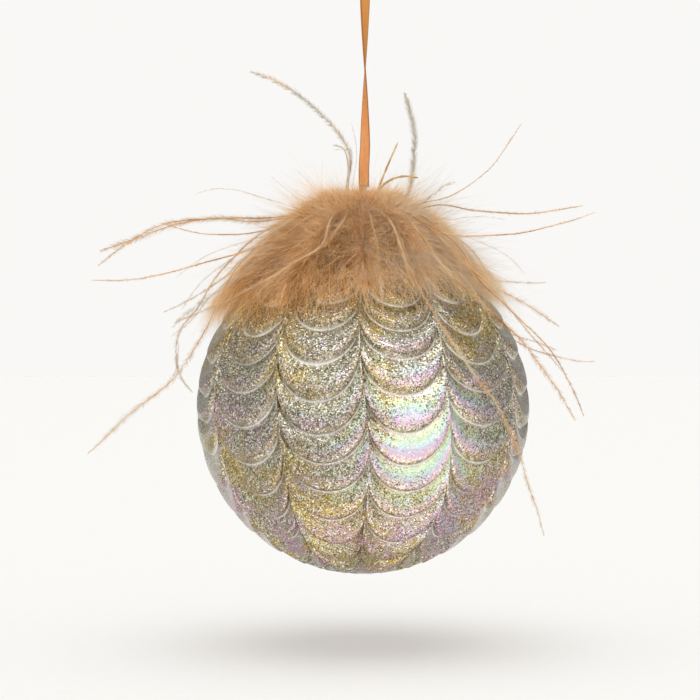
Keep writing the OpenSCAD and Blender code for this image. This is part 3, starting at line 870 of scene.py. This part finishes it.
def make_crown():
    """Short down that stands up round the knot, and loose hairs that stand off the whole trim."""
    C = np.array([0, 0, BALL_Z / MM])
    rs = np.random.default_rng(77)
    P1 = shape_fluff(tufts(int(5600 * DENSITY), rs, 8.2, 13.0, -90.5, -85.0, 34, 88, 7.0, 15.0), rs)
    P2 = shape_fluff(tufts(int(4000 * DENSITY), rs, 9.0, 19.0, -93.0, -87.0, 0, 70, 6.0, 14.0, 0.6), rs)
    P3 = shape_fluff(tufts(int(1900 * DENSITY), rs, 7.2, 9.8, -88.0, -83.0, 56, 90, 6.0, 11.0, 0.3), rs)
    down_piece("marabou_down_crown", [(P1, rs, dict(tone0=0.26, tone1=0.80)), (P2, rs, dict(tone0=0.20, tone1=0.78)), (P3, rs, dict(tone0=0.30, tone1=0.85))])

    rs = np.random.default_rng(81)
    P4 = clear_of_neighbours(tufts(int(4800 * DENSITY), rs, 8.4, 11.5, -88.0, -84.0, 60, 88, 5.0, 9.0, 0.30))
    P5 = clear_of_neighbours(tufts(int(2600 * DENSITY), rs, 10.0, 17.0, -90.0, -86.5, 44, 84, 5.0, 11.0, 0.45))
    down_piece("marabou_down_collar", [(shape_fluff(P4, rs), rs, dict(tone0=0.28, tone1=0.86)), (shape_fluff(P5, rs), rs, dict(tone0=0.26, tone1=0.90))])

    # loose single hairs
    rs = np.random.default_rng(78)
    N = int(4600 * DENSITY)
    az = rs.uniform(0, 2 * math.pi, N)
    th = np.radians(rs.uniform(6, 50, N))
    nrm = np.stack([np.sin(th) * np.cos(az), np.sin(th) * np.sin(az), np.cos(th)], axis=1)
    P0 = C + nrm * (envelope(np.degrees(th)) - 6.5)[:, None]
    P0[:, 2] = np.minimum(P0[:, 2], crown_top(P0[:, 0]) - 2)
    mer = np.stack([np.cos(th) * np.cos(az), np.cos(th) * np.sin(az), -np.sin(th)], axis=1)
    tang = np.stack([-np.sin(az), np.cos(az), np.zeros(N)], axis=1)
    d0 = unit(nrm * rs.uniform(0.1, 1.1, N)[:, None] + mer * rs.uniform(0.3, 1.2, N)[:, None] + tang * rs.normal(0, 0.35, N)[:, None])
    L = (rs.uniform(6, 14, N) + 11 * rs.uniform(0, 1, N) ** 4)[:, None]
    P = np.empty((N, 4, 3))
    bend = rs.normal(0, 0.13, (N, 3)) + np.array([0, 0, -0.10])
    for j, x in enumerate(KNOTS):
        P[:, j] = P0 + d0 * L * x + bend * L * x * x
    loose = clear_of_neighbours(P)
    whiskers = clear_of_neighbours(tufts(int(1300 * DENSITY), rs, 9.0, 20.0, -91.0, -84.5, 8, 84, 8.0, 21.0, 0.5))
    # long fine wisps, most of them to the sides
    w = tufts(int(1000 * DENSITY), rs, 12.0, 34.0, -95.0, -88.0, 2, 42, 9.0, 23.0, 0.45)
    w[:, :, 2] -= (0.010 * (np.linalg.norm(w[:, :, :2], axis=-1) ** 2)) * 0.55
    wisps = clear_of_neighbours(w)
    # a veil of down over the roots of the long flues
    rs = np.random.default_rng(79)
    N = int(11500 * DENSITY)
    az = rs.uniform(0, 2 * math.pi, N)
    th = np.radians(9 + 36 * rs.uniform(0, 1, N) ** 0.8)
    nrm = np.stack([np.sin(th) * np.cos(az), np.sin(th) * np.sin(az), np.cos(th)], axis=1)
    mer = np.stack([np.cos(th) * np.cos(az), np.cos(th) * np.sin(az), -np.sin(th)], axis=1)
    tang = np.stack([-np.sin(az), np.cos(az), np.zeros(N)], axis=1)
    P0 = C + nrm * (envelope(np.degrees(th)) - rs.uniform(3.5, 7.5, N))[:, None]
    P0[:, 2] = np.minimum(P0[:, 2], crown_top(P0[:, 0]) - rs.uniform(1.5, 5, N))
    d0 = unit(nrm * rs.uniform(-0.05, 0.75, N)[:, None] + mer + tang * rs.normal(0, 0.38, N)[:, None])
    L = rs.uniform(4.5, 13, N)[:, None]
    P = np.empty((N, 4, 3))
    bend = rs.normal(0, 0.13, (N, 3)) - nrm * 0.05
    wave = rs.normal(0, 1, (N, 3))
    for j, x in enumerate(KNOTS):
        P[:, j] = P0 + d0 * L * x + bend * L * x * x + wave * 0.22 * math.sin(5 * x) * x
    down_piece("marabou_down_veil", [(shape_fluff(P, rs), rs, dict(tone0=0.26, tone1=0.80))])
    # the undercoat: thick short down close to the glass
    rs = np.random.default_rng(82)
    N = int(11000 * DENSITY)
    az = rs.uniform(0, 2 * math.pi, N)
    th = np.radians(12 + (reach(az) - 19) * rs.uniform(0, 1, N) ** 0.75)
    nrm = np.stack([np.sin(th) * np.cos(az), np.sin(th) * np.sin(az), np.cos(th)], axis=1)
    mer = np.stack([np.cos(th) * np.cos(az), np.cos(th) * np.sin(az), -np.sin(th)], axis=1)
    tang = np.stack([-np.sin(az), np.cos(az), np.zeros(N)], axis=1)
    P0 = C + nrm * rs.uniform(50.8, 54.6, N)[:, None]
    d0 = unit(nrm * rs.uniform(-0.05, 0.45, N)[:, None] + mer + tang * rs.normal(0, 0.42, N)[:, None])
    L = rs.uniform(4.5, 11, N)[:, None]
    P = np.empty((N, 4, 3))
    bend = rs.normal(0, 0.14, (N, 3)) - nrm * 0.05
    wave = rs.normal(0, 1, (N, 3))
    for j, x in enumerate(KNOTS):
        P[:, j] = P0 + d0 * L * x + bend * L * x * x + wave * 0.22 * math.sin(5 * x) * x
    down_piece("marabou_down_under", [(clear_of_neighbours(P), rs, dict(r0=0.046, r1=0.014, tone0=0.12, tone1=0.62))])
    # thin haze that lies over the shoulder of the glass
    rs = np.random.default_rng(80)
    N = int(5200 * DENSITY)
    az = rs.uniform(0, 2 * math.pi, N)
    th = np.radians(reach(az) - rs.uniform(-1, 13, N))
    mer = np.stack([np.cos(th) * np.cos(az), np.cos(th) * np.sin(az), -np.sin(th)], axis=1)
    nrm = np.stack([np.sin(th) * np.cos(az), np.sin(th) * np.sin(az), np.cos(th)], axis=1)
    tang = np.stack([-np.sin(az), np.cos(az), np.zeros(N)], axis=1)
    P0 = C + nrm * rs.uniform(52.5, 56.5, N)[:, None]
    d0 = unit(mer + nrm * rs.uniform(-0.45, 0.15, N)[:, None] + tang * rs.normal(0, 0.42, N)[:, None])
    L = (rs.uniform(6, 15, N))[:, None]
    P = np.empty((N, 4, 3))
    bend = rs.normal(0, 0.12, (N, 3)) - nrm * 0.10
    for j, x in enumerate(KNOTS):
        P[:, j] = P0 + d0 * L * x + bend * L * x * x
    haze = clear_of_neighbours(P)
    down_piece("marabou_down_loose", [(loose, rs, dict(r0=0.026, r1=0.010, tone0=0.60, tone1=1.15, spread=0.15)),
                                      (whiskers, rs, dict(r0=0.026, r1=0.010, tone0=0.55, tone1=1.2, spread=0.15)),
                                      (wisps, rs, dict(r0=0.028, r1=0.010, tone0=0.70, tone1=1.25, spread=0.12)),
                                      (haze, rs, dict(r0=0.024, r1=0.009, tone0=0.35, tone1=0.80, spread=0.18))])


make_plumes()
make_crown()

# Routes of the long flues in mm, root first, as the CAD has them
FLUES = {
    "left": [
        [[-10, 3, -86], [-20, 5, -88], [-34, 7, -89], [-45, 8, -88], [-56, 9, -89.5], [-68, 10, -93.5], [-81, 11, -98]],
        [[-10, -3, -86], [-22, -8, -88.5], [-37, -14, -89.5], [-48, -18, -90], [-59, -21, -92], [-68, -23, -97], [-77, -24, -104]],
        [[-9, 6, -86], [-20, 13, -89], [-33, 20, -91.5], [-46, 26, -92], [-55, 30, -90.5], [-64, 33, -88]],
        [[-8, -9, -86], [-15, -20, -89], [-23, -27, -95], [-32, -25, -99], [-50, -22, -104], [-65, -20, -107.5], [-80, -18, -108]],
        [[-8, 9, -86], [-20, 17, -90], [-37, 17, -100], [-43, 15, -106], [-51, 12, -111.5], [-61.5, 10, -117]],
        [[-5, -10, -86], [-9, -24, -89.5], [-12, -38, -98.5], [-20, -39, -104], [-28, -35, -108.5], [-38, -26, -113.5], [-46, -17, -116.5], [-56, -9, -120]],
        [[-11, 1, -86], [-26, 1, -90], [-41, 2, -102], [-50, 4, -115], [-56, 6, -123], [-57, 8, -132], [-55.5, 9, -137.5], [-52, 10, -141.5]],
        [[-8, -6, -86.5], [-22, -17, -90.5], [-36, -27, -104], [-42, -27, -115], [-46, -25, -123], [-55, -22, -136.5], [-67, -19, -146], [-81, -17, -159]]],
    "right": [
        [[10, -2, -86], [16, -4, -86], [24, -5, -85], [33, -6, -86.5], [44, -6, -87.5], [55, -6, -87], [66, -5, -85]],
        [[8, -9, -86], [14, -20, -89], [23, -27, -94.5], [33, -27, -95.5], [45, -25, -94.5], [56, -22, -92], [68, -18, -88]],
        [[9, 8, -86], [20, 18, -90], [31, 27, -101], [38, 28, -105.5], [48, 27, -107], [58, 26, -107]],
        [[6, -10, -86], [14, -22, -89], [24, -32, -98.5], [33, -31, -107.5], [45, -27, -114], [57, -22, -121.5]],
        [[9, -7, -87], [18, -17, -89.5], [28, -28, -99.5], [34, -28, -109], [45, -24, -119], [55, -20, -129], [61, -17, -139], [65, -15, -148]],
        [[10, 4, -86], [22, 11, -89.5], [34, 15, -97.5], [41, 17, -109], [50, 17, -121], [57, 16, -129], [61.5, 15, -134.5]],
        [[7, 10, -86], [20, 21, -91], [33, 31, -108], [40, 30, -118], [46, 28, -124], [56, 25, -129], [66, 22, -131.5], [73, 20, -132]],
        [[5, -11, -87], [13, -27, -91], [21, -38, -103], [32, -36, -114], [43, -31, -123.5], [52, -26, -134], [62, -21, -149]]],
    "front": [
        [[3, -11, -86], [8, -31, -92], [13, -44, -107], [20, -49, -119], [27, -46, -130], [37, -39, -143], [43, -32, -154.5], [48, -25, -168], [53, -19, -183]],
        [[-3, -11, -86], [-5, -24, -89], [-8, -40, -95], [-12, -60, -101]],
        [[1, -12, -87], [2, -28, -90], [4, -45, -102], [5, -58, -118]]],
    "back": [
        [[-8, 11, -87], [-15, 26, -90], [-24, 38, -103], [-33, 48, -118]],
        [[-4, 12, -86], [-8, 28, -90], [-12, 44, -99], [-18, 61, -104]],
        [[0, 11, -87], [0, 26, -89.5], [2, 44, -103], [3, 54, -124]],
        [[4, 12, -86], [9, 27, -89.5], [15, 43, -97], [21, 60, -99]],
        [[8, 11, -87], [14, 26, -90.5], [22, 39, -104], [29, 47, -121]]],
    "top": [
        [[-6, 5, -86.5], [-5, 5.5, -78], [-3.8, 5.5, -69], [-8.5, 5, -61], [-18, 4, -52], [-26, 3, -47], [-34, 2, -44]],
        [[9, 6, -87], [14, 8, -80], [16, 9, -66], [15.5, 9, -60], [13, 9, -49.5]],
        [[10, -5, -87], [18, -7, -84.5], [27, -8, -82], [38, -9, -74], [47, -10, -61]]],
}
# How fluffy each flue is: length of its barbules in mm, how many to a mm, stem radius at the root, tone
FLUE_LOOK = {
    "left": [(1.8, 3.4, 0.20, 0.50), (1.4, 2.6, 0.19, 0.50), (0.7, 1.6, 0.21, 0.42), (0.8, 2.0, 0.22, 0.45), (1.0, 2.0, 0.17, 0.55), (1.1, 2.4, 0.20, 0.50), (1.2, 2.6, 0.19, 0.60), (1.6, 2.8, 0.18, 0.60)],
    "right": [(0.8, 2.0, 0.22, 0.42), (0.7, 1.8, 0.22, 0.42), (0.9, 2.2, 0.15, 0.62), (1.4, 2.8, 0.21, 0.46), (0.9, 2.2, 0.22, 0.42), (0.9, 2.0, 0.20, 0.45), (1.0, 2.0, 0.18, 0.5), (1.5, 2.8, 0.20, 0.46)],
    "front": [(1.3, 2.6, 0.17, 0.60), (1.0, 2.0, 0.14, 0.50), (1.1, 2.2, 0.13, 0.5)],
    "back": [(1.2, 2.2, 0.19, 0.5)] * 5,
    "top": [(1.5, 4.2, 0.13, 0.92), (1.7, 6.5, 0.13, 1.05), (0.6, 1.8, 0.12, 0.50)],
}


def add_flue(bundle, route, look, rs, scale=1.0):
    length_b, per_mm, r0, tone = look
    path = catmull(route, 9)
    seg = np.linalg.norm(np.diff(path, axis=0), axis=1)
    total = seg.sum()
    cum = np.concatenate([[0], np.cumsum(seg)])
    # a natural stem isn't quite smooth
    wob = 0.10 * np.stack([np.sin(cum * 0.31 + rs.uniform(0, 6)), np.sin(cum * 0.27 + rs.uniform(0, 6)), np.sin(cum * 0.35 + rs.uniform(0, 6))], axis=1)
    path = path + wob * np.clip(cum / 12, 0, 1)[:, None]
    K = len(path)
    R = (1.22 * r0 * (1 - 0.72 * (cum / total) ** 0.9) * np.clip(0.5 + cum / 50, 0, 1) * scale)[None]
    v, q, t, along, who = strands(path[None] * MM, R * MM, 5, seed=int(rs.integers(1 << 30)))
    bundle.add(v, q, t, tone=np.clip(tone - 0.22 + 0.12 * np.sin(along * 40) * rs.uniform(0.3, 1) + 0.20 * along, 0, 1))
    n = int(total * per_mm * 4.4)
    s0 = np.sort(rs.uniform(0.02, 0.995, n)) * total
    idx = np.clip(np.searchsorted(cum, s0) - 1, 0, K - 2)
    fr = ((s0 - cum[idx]) / seg[idx])[:, None]
    P0 = path[idx] * (1 - fr) + path[idx + 1] * fr
    T = unit(path[idx + 1] - path[idx])
    h = unit(np.cross(np.array([0, 0, 1.0]), path[-1] - path[0]))
    U = unit(np.cross(T, h))
    V = np.cross(T, U)
    side = rs.choice([-1.0, 1.0], n)
    # barbules lie in a plane that turns slowly along the stem, with some scatter
    roll = 0.6 * np.sin(s0 * 0.09 + rs.uniform(0, 6)) + rs.normal(0, 0.45, n)
    W = (np.cos(roll)[:, None] * U + np.sin(roll)[:, None] * V) * side[:, None]
    lean = np.radians(np.clip(rs.normal(48, 12, n), 15, 80))[:, None]
    d0 = unit(T * np.cos(lean) + W * np.sin(lean))
    x = s0 / total
    Lb = length_b * scale * rs.uniform(0.55, 1.2, n) * np.clip(x * 4, 0.35, 1) * np.clip((1 - x) * 6 + 0.35, 0, 1)
    Lb = Lb[:, None]
    P = np.empty((n, 4, 3))
    bend = T * 0.35 + rs.normal(0, 0.10, (n, 3))
    for j, y in enumerate((0, 0.35, 0.7, 1.0)):
        P[:, j] = P0 + d0 * Lb * y + bend * Lb * y * y
    R = np.repeat(np.array([[0.036, 0.031, 0.022, 0.012]]), n, axis=0) * rs.uniform(0.8, 1.2, n)[:, None]
    v, q, t, along, who = strands(P * MM, R * MM, 3, seed=int(rs.integers(1 << 30)))
    bundle.add(v, q, t, tone=np.clip(tone + 0.12 + 0.20 * along + rs.normal(0, 0.12, n)[who], 0, 1))


def make_flues():
    rs = np.random.default_rng(909)
    for group, routes in FLUES.items():
        b = Bundle()
        for route, look in zip(routes, FLUE_LOOK[group]):
            add_flue(b, route, look, rs)
        ob = b.make("ostrich_flues_detail_" + group)
        set_material(ob, OSTRICH)
        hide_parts("ostrich_flues_" + group)
        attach(ob, "cap")
    # fine hairs that only the eye sees: too thin to be in the frame
    fine = [
        ([[-12, 2, -88], [-22.5, 3, -84.5], [-34, 4, -80.9], [-39, 4, -79.7], [-45.5, 4, -79.4], [-51.5, 4, -80.9]], (0.5, 1.2, 0.06, 0.55)),
        ([[-20, -14, -92], [-37, -16, -107.2], [-50.6, -15, -116.3], [-56.3, -14, -122]], (1.5, 3.0, 0.09, 0.75)),
        ([[-34, 12, -100], [-46, 13, -111], [-53, 12, -119.3], [-59, 12, -124.1]], (0.7, 1.6, 0.09, 0.6)),
        ([[-56.2, 7, -127], [-57.2, 8, -134.4], [-59.3, 9, -138], [-60.2, 9, -140.1]], (0.8, 2.0, 0.08, 0.6)),
        ([[-4, 7.5, -84], [-2.2, 8, -72], [-2.0, 8, -67], [-2.6, 8, -62.2], [-3.5, 8, -58.3]], (0.4, 1.2, 0.06, 0.55)),
        ([[-5, 8, -80], [-3.2, 8.5, -68.5], [-5.3, 8.5, -67], [-8.9, 8.5, -67]], (0.5, 1.5, 0.10, 0.5)),
        ([[44, 27, -122], [50, 26, -124.5], [55.1, 25, -125.9], [61.2, 24, -128.3]], (0.8, 2.0, 0.10, 0.5)),
        ([[16, -6, -86], [21, -7, -82], [24.5, -7.5, -79.2], [27.5, -8, -78.3]], (0.9, 2.4, 0.07, 0.5)),
        ([[-14, 4, -88], [-19, 4, -83], [-24, 4, -79], [-28, 4, -75.5]], (0.3, 1.0, 0.05, 0.6)),
        ([[-10, 3, -86], [-13, 3, -81], [-17, 3, -77], [-20, 3, -73.5]], (0.3, 1.0, 0.05, 0.6)),
        ([[20, 4, -90], [30, 5, -88.2], [38, 5, -87.8], [44, 5, -88.6]], (0.4, 1.2, 0.05, 0.7)),
        ([[28, -12, -94], [36, -13, -97], [43, -13, -101], [48, -12, -106]], (0.5, 1.4, 0.06, 0.7)),
        ([[-26, -6, -93], [-38, -8, -97], [-48, -8, -101], [-56, -8, -107]], (0.5, 1.4, 0.06, 0.7)),
        ([[-30, 2, -95], [-42, 3, -102], [-50, 3, -109], [-55, 3, -116]], (0.6, 1.6, 0.06, 0.7)),
    ]
    b = Bundle()
    for route, look in fine:
        add_flue(b, route, look, rs)
    ob = b.make("ostrich_fine_hairs")
    set_material(ob, OSTRICH)
    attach(ob, "cap")


make_flues()


def make_stubs():
    rs = np.random.default_rng(31)
    b = Bundle()
    stubs = [
        [[5, -5, -87], [4.9, -5, -80], [6.6, -5, -75], [10.5, -5, -66]],
        [[5.2, -7.5, -87], [5.2, -7.5, -80.5], [8.5, -7.5, -77.5], [12.5, -7.5, -76.5], [16.5, -7.5, -77]],
        [[-5, -5, -87], [-4.3, -5, -76], [-5.5, -5, -68.5], [-9, -5, -67]]]
    for i, route in enumerate(stubs):
        path = catmull(route, 9)
        K = len(path)
        x = np.linspace(0, 1, K)
        R = (0.40 - 0.16 * x + 0.035 * np.sin(x * 37 + i) + 0.02 * np.sin(x * 91)) * (1.0, 1.0, 0.72)[i]
        R[-1] = 0.0
        R[-2] *= 0.8
        v, q, t, along, who = strands(path[None] * MM, R[None] * MM, 8, seed=i)
        b.add(v, q, t, tone=np.clip((0.45, 0.45, 0.98)[i] + 0.22 * np.sin(along * 23 + i) + 0.1 * np.sin(along * 71), 0, 1))
        n = 190
        s0 = rs.uniform(0.25, 0.97, n)
        idx = (s0 * (K - 1)).astype(int)
        T = unit(path[np.minimum(idx + 1, K - 1)] - path[np.maximum(idx - 1, 0)])
        d0 = unit(np.cross(T, rs.normal(size=(n, 3))) + T * 0.8)
        L = rs.uniform(0.25, 0.85, n)[:, None]
        P = np.stack([path[idx] + d0 * L * y for y in (0, 0.5, 1.0)], axis=1)
        R = np.repeat(np.array([[0.03, 0.02, 0.01]]), n, axis=0)
        v, q, t, along, who = strands(P * MM, R * MM, 3, seed=i + 50)
        b.add(v, q, t, tone=np.full(len(v), 0.85))
    ob = b.make("quill_stubs_detail")
    set_material(ob, QUILL)
    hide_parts("quill_stubs")
    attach(ob, "cap")


make_stubs()


# ------------------------------------------------------------------ hidden hardware
def torus_cord(name, major, z0s, r):
    """Three-ply twisted cord in closed rings."""
    b = Bundle()
    for z0 in z0s:
        plies, steps, sides = 3, 150, 6
        turns = 18
        a = np.linspace(0, 2 * math.pi, steps, endpoint=False)
        for p in range(plies):
            ph = turns * a + 2 * math.pi * p / plies
            cr = r * 0.5
            c = np.stack([(major + cr * np.cos(ph)) * np.cos(a), (major + cr * np.cos(ph)) * np.sin(a), z0 + cr * np.sin(ph)], axis=1)
            tang = unit(np.roll(c, -1, axis=0) - np.roll(c, 1, axis=0))
            U = unit(np.cross(tang, np.array([0, 0, 1.0])))
            V = np.cross(tang, U)
            verts = np.stack([c + r * 0.48 * (math.cos(2 * math.pi * k / sides) * U + math.sin(2 * math.pi * k / sides) * V) for k in range(sides)], axis=1).reshape(-1, 3)
            i, k = np.meshgrid(np.arange(steps), np.arange(sides), indexing="ij")
            q = np.stack([i * sides + k, i * sides + (k + 1) % sides, ((i + 1) % steps) * sides + (k + 1) % sides, ((i + 1) % steps) * sides + k], axis=-1).reshape(-1, 4)
            b.add(verts * MM, q, np.zeros((0, 3), np.int64), tone=np.full(len(verts), 0.35 + 0.15 * p))
    ob = b.make(name)
    fix_normals(ob)
    return ob


def make_hardware():
    lo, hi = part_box("trim_cord")
    z1, z2 = lo.z / MM + 0.7, hi.z / MM - 0.7
    major = hi.x / MM - 0.7
    cord = torus_cord("trim_cord_twisted", major, (z1, z2), 0.68)
    set_material(cord, fibre_material("trim_thread", (0.22, 0.11, 0.05), (0.42, 0.25, 0.12), (0.62, 0.44, 0.26), (0.70, 0.56, 0.40), sheen=0.3))
    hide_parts("trim_cord")
    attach(cord, "cap")

    # glue: a lumpy ring of amber hot glue
    lo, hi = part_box("glue_bead")
    zc, ro = (lo.z + hi.z) / 2 / MM, hi.x / MM
    hh = (hi.z - lo.z) / 2 / MM
    steps, sides = 160, 20
    a = np.linspace(0, 2 * math.pi, steps, endpoint=False)
    k = np.linspace(0, 2 * math.pi, sides, endpoint=False)
    A, Kk = np.meshgrid(a, k, indexing="ij")
    lump = 1 - 0.10 * (0.5 + 0.5 * np.sin(7 * A + 1.3)) - 0.07 * (0.5 + 0.5 * np.sin(17 * A + 2 * Kk)) - 0.05 * (0.5 + 0.5 * np.sin(29 * A - Kk))
    rin = 9.05
    rm, rw = (ro + rin) / 2, (ro - rin) / 2
    rr = rm + rw * np.cos(Kk) * lump
    zz = zc + hh * np.sin(Kk) * lump
    verts = np.stack([rr * np.cos(A), rr * np.sin(A), zz], axis=-1).reshape(-1, 3)
    i, j = np.meshgrid(np.arange(steps), np.arange(sides), indexing="ij")
    q = np.stack([i * sides + j, ((i + 1) % steps) * sides + j, ((i + 1) % steps) * sides + (j + 1) % sides, i * sides + (j + 1) % sides], axis=-1).reshape(-1, 4)
    glue = make_mesh("glue_bead_ring", verts * MM, q)
    fix_normals(glue)
    m, nt, p = new_material("amber_glue")
    n = node(nt, "ShaderNodeTexNoise", {"Vector": object_coords(nt), "Scale": 420.0, "Detail": 4.0}).outputs[0]
    nt.links.new(ramp(nt, n, [(0.3, (0.48, 0.33, 0.14)), (0.7, (0.80, 0.66, 0.38))]), p.inputs["Base Color"])
    nt.links.new(math_node(nt, "MULTIPLY_ADD", n, 0.25, 0.12), p.inputs["Roughness"])
    bump = node(nt, "ShaderNodeBump", {"Height": n, "Strength": 0.4, "Distance": 0.0001})
    nt.links.new(bump.outputs[0], p.inputs["Normal"])
    p.inputs["Subsurface Weight"].default_value = 0.25
    p.inputs["Subsurface Radius"].default_value = (0.001, 0.0006, 0.0003)
    set_material(glue, m)
    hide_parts("glue_bead")
    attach(glue, "cap")

    # brass cap
    m, nt, p = new_material("stamped_brass")
    co = object_coords(nt)
    fine = node(nt, "ShaderNodeTexNoise", {"Vector": vmath(nt, "MULTIPLY", co, (1.0, 1.0, 14.0)), "Scale": 900.0, "Detail": 3.0}).outputs[0]
    worn = node(nt, "ShaderNodeTexNoise", {"Vector": co, "Scale": 260.0, "Detail": 5.0, "Roughness": 0.65}).outputs[0]
    nt.links.new(ramp(nt, worn, [(0.30, (0.46, 0.30, 0.10)), (0.52, (0.80, 0.60, 0.27)), (0.75, (0.88, 0.72, 0.42))]), p.inputs["Base Color"])
    p.inputs["Metallic"].default_value = 1.0
    nt.links.new(math_node(nt, "ADD", math_node(nt, "MULTIPLY", fine, 0.22), math_node(nt, "MULTIPLY_ADD", worn, 0.25, 0.06)), p.inputs["Roughness"])
    bump = node(nt, "ShaderNodeBump", {"Height": fine, "Strength": 0.25, "Distance": 0.00005})
    nt.links.new(bump.outputs[0], p.inputs["Normal"])
    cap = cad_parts["ornament_cap"]
    for s in cap.material_slots:
        s.material = m

    m, nt, p = new_material("spring_steel")
    co = object_coords(nt)
    draw = node(nt, "ShaderNodeTexNoise", {"Vector": vmath(nt, "MULTIPLY", co, (9.0, 9.0, 0.4)), "Scale": 500.0, "Detail": 3.0}).outputs[0]
    nt.links.new(ramp(nt, draw, [(0.3, (0.42, 0.41, 0.39)), (0.7, (0.72, 0.71, 0.69))]), p.inputs["Base Color"])
    p.inputs["Metallic"].default_value = 1.0
    nt.links.new(math_node(nt, "MULTIPLY_ADD", draw, 0.30, 0.12), p.inputs["Roughness"])
    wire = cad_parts["hanger_wire"]
    for s in wire.material_slots:
        s.material = m


make_hardware()


# ------------------------------------------------------------------ studio
def make_studio():
    z = CAD_BOX[0][2] - 0.0215
    n = 41
    g = np.linspace(-1, 1, n)
    g = np.sign(g) * np.abs(g) ** 2.2 * 6.0
    X, Y = np.meshgrid(g, g, indexing="ij")
    V = np.stack([X, Y, np.full_like(X, z)], axis=-1).reshape(-1, 3)
    i, j = np.meshgrid(np.arange(n - 1), np.arange(n - 1), indexing="ij")
    a = i * n + j
    floor = make_mesh("studio_floor", V, np.stack([a, a + n, a + n + 1, a + 1], axis=-1).reshape(-1, 4))
    m, nt, p = new_material("pale_floor")
    co = object_coords(nt)
    fine = node(nt, "ShaderNodeTexNoise", {"Vector": co, "Scale": 300.0, "Detail": 3.0}).outputs[0]
    nt.links.new(ramp(nt, fine, [(0.3, (0.925, 0.918, 0.905)), (0.7, (0.94, 0.933, 0.92))]), p.inputs["Base Color"])
    p.inputs["Roughness"].default_value = 0.9
    p.inputs["Specular IOR Level"].default_value = 0.1
    set_material(floor, m)

    world = bpy.data.worlds.new("studio")
    scene.world = world
    world.use_nodes = True
    nt = world.node_tree
    nt.nodes.clear()
    out = nt.nodes.new("ShaderNodeOutputWorld")
    see = node(nt, "ShaderNodeBackground", {"Color": (0.9465, 0.939, 0.921, 1), "Strength": 1.0})
    direction = node(nt, "ShaderNodeTexCoord").outputs["Generated"]
    zc = node(nt, "ShaderNodeSeparateXYZ", {0: direction}).outputs[2]
    up = math_node(nt, "MULTIPLY_ADD", zc, 0.5, 0.5, clamp=True)
    shade = ramp(nt, up, [(0.0, (0.37, 0.365, 0.35)), (0.45, (0.36, 0.355, 0.345)), (0.65, (0.44, 0.44, 0.43)), (1.0, (0.56, 0.56, 0.54))])
    light = node(nt, "ShaderNodeBackground", {"Color": shade, "Strength": 1.0})
    path = node(nt, "ShaderNodeLightPath")
    mix = node(nt, "ShaderNodeMixShader", {0: path.outputs["Is Camera Ray"], 1: light.outputs[0], 2: see.outputs[0]})
    nt.links.new(mix.outputs[0], out.inputs["Surface"])

    def sun(name, az, el, strength, angle, colour=(1, 1, 1), floor_too=True):
        """A soft source at az degrees to the right of the camera and el degrees up."""
        l = bpy.data.lights.new(name, "SUN")
        l.energy = strength
        l.color = colour
        l.angle = math.radians(angle)
        ob = bpy.data.objects.new(name, l)
        a, e = math.radians(az), math.radians(el)
        to_light = Vector((math.sin(a) * math.cos(e), -math.cos(a) * math.cos(e), math.sin(e)))
        ob.location = to_light + Vector(BALL_C)
        ob.rotation_euler = to_light.to_track_quat("Z", "Y").to_euler()
        COLL.objects.link(ob)
        if not floor_too:
            ob.light_linking.receiver_collection = not_floor
        return ob

    not_floor = bpy.data.collections.new("all_but_the_floor")
    not_floor.objects.link(floor)
    not_floor.collection_objects[0].light_linking.link_state = "EXCLUDE"
    only_floor = bpy.data.collections.new("the_floor_alone")
    only_floor.objects.link(floor)
    sun("overhead", 0, 90, 0.80, 60)
    fill = sun("floor_fill", 0, 90, 0.905, 30)
    fill.light_linking.receiver_collection = only_floor
    fill.light_linking.blocker_collection = only_floor
    sun("key", 24, 50, 0.75, 8.5, floor_too=False)
    sun("front", -6, 34, 1.12, 60, floor_too=False)
    sun("right_box", 38, -2, 1.04, 30, (1.0, 0.97, 0.90), floor_too=False)
    sun("left_fill", -65, 20, 0.45, 50, floor_too=False)
    below = sun("from_below", 4, -70, 1.20, 60, floor_too=False)
    below.light_linking.blocker_collection = not_floor
    scene.view_settings.view_transform = "Standard"


make_studio()
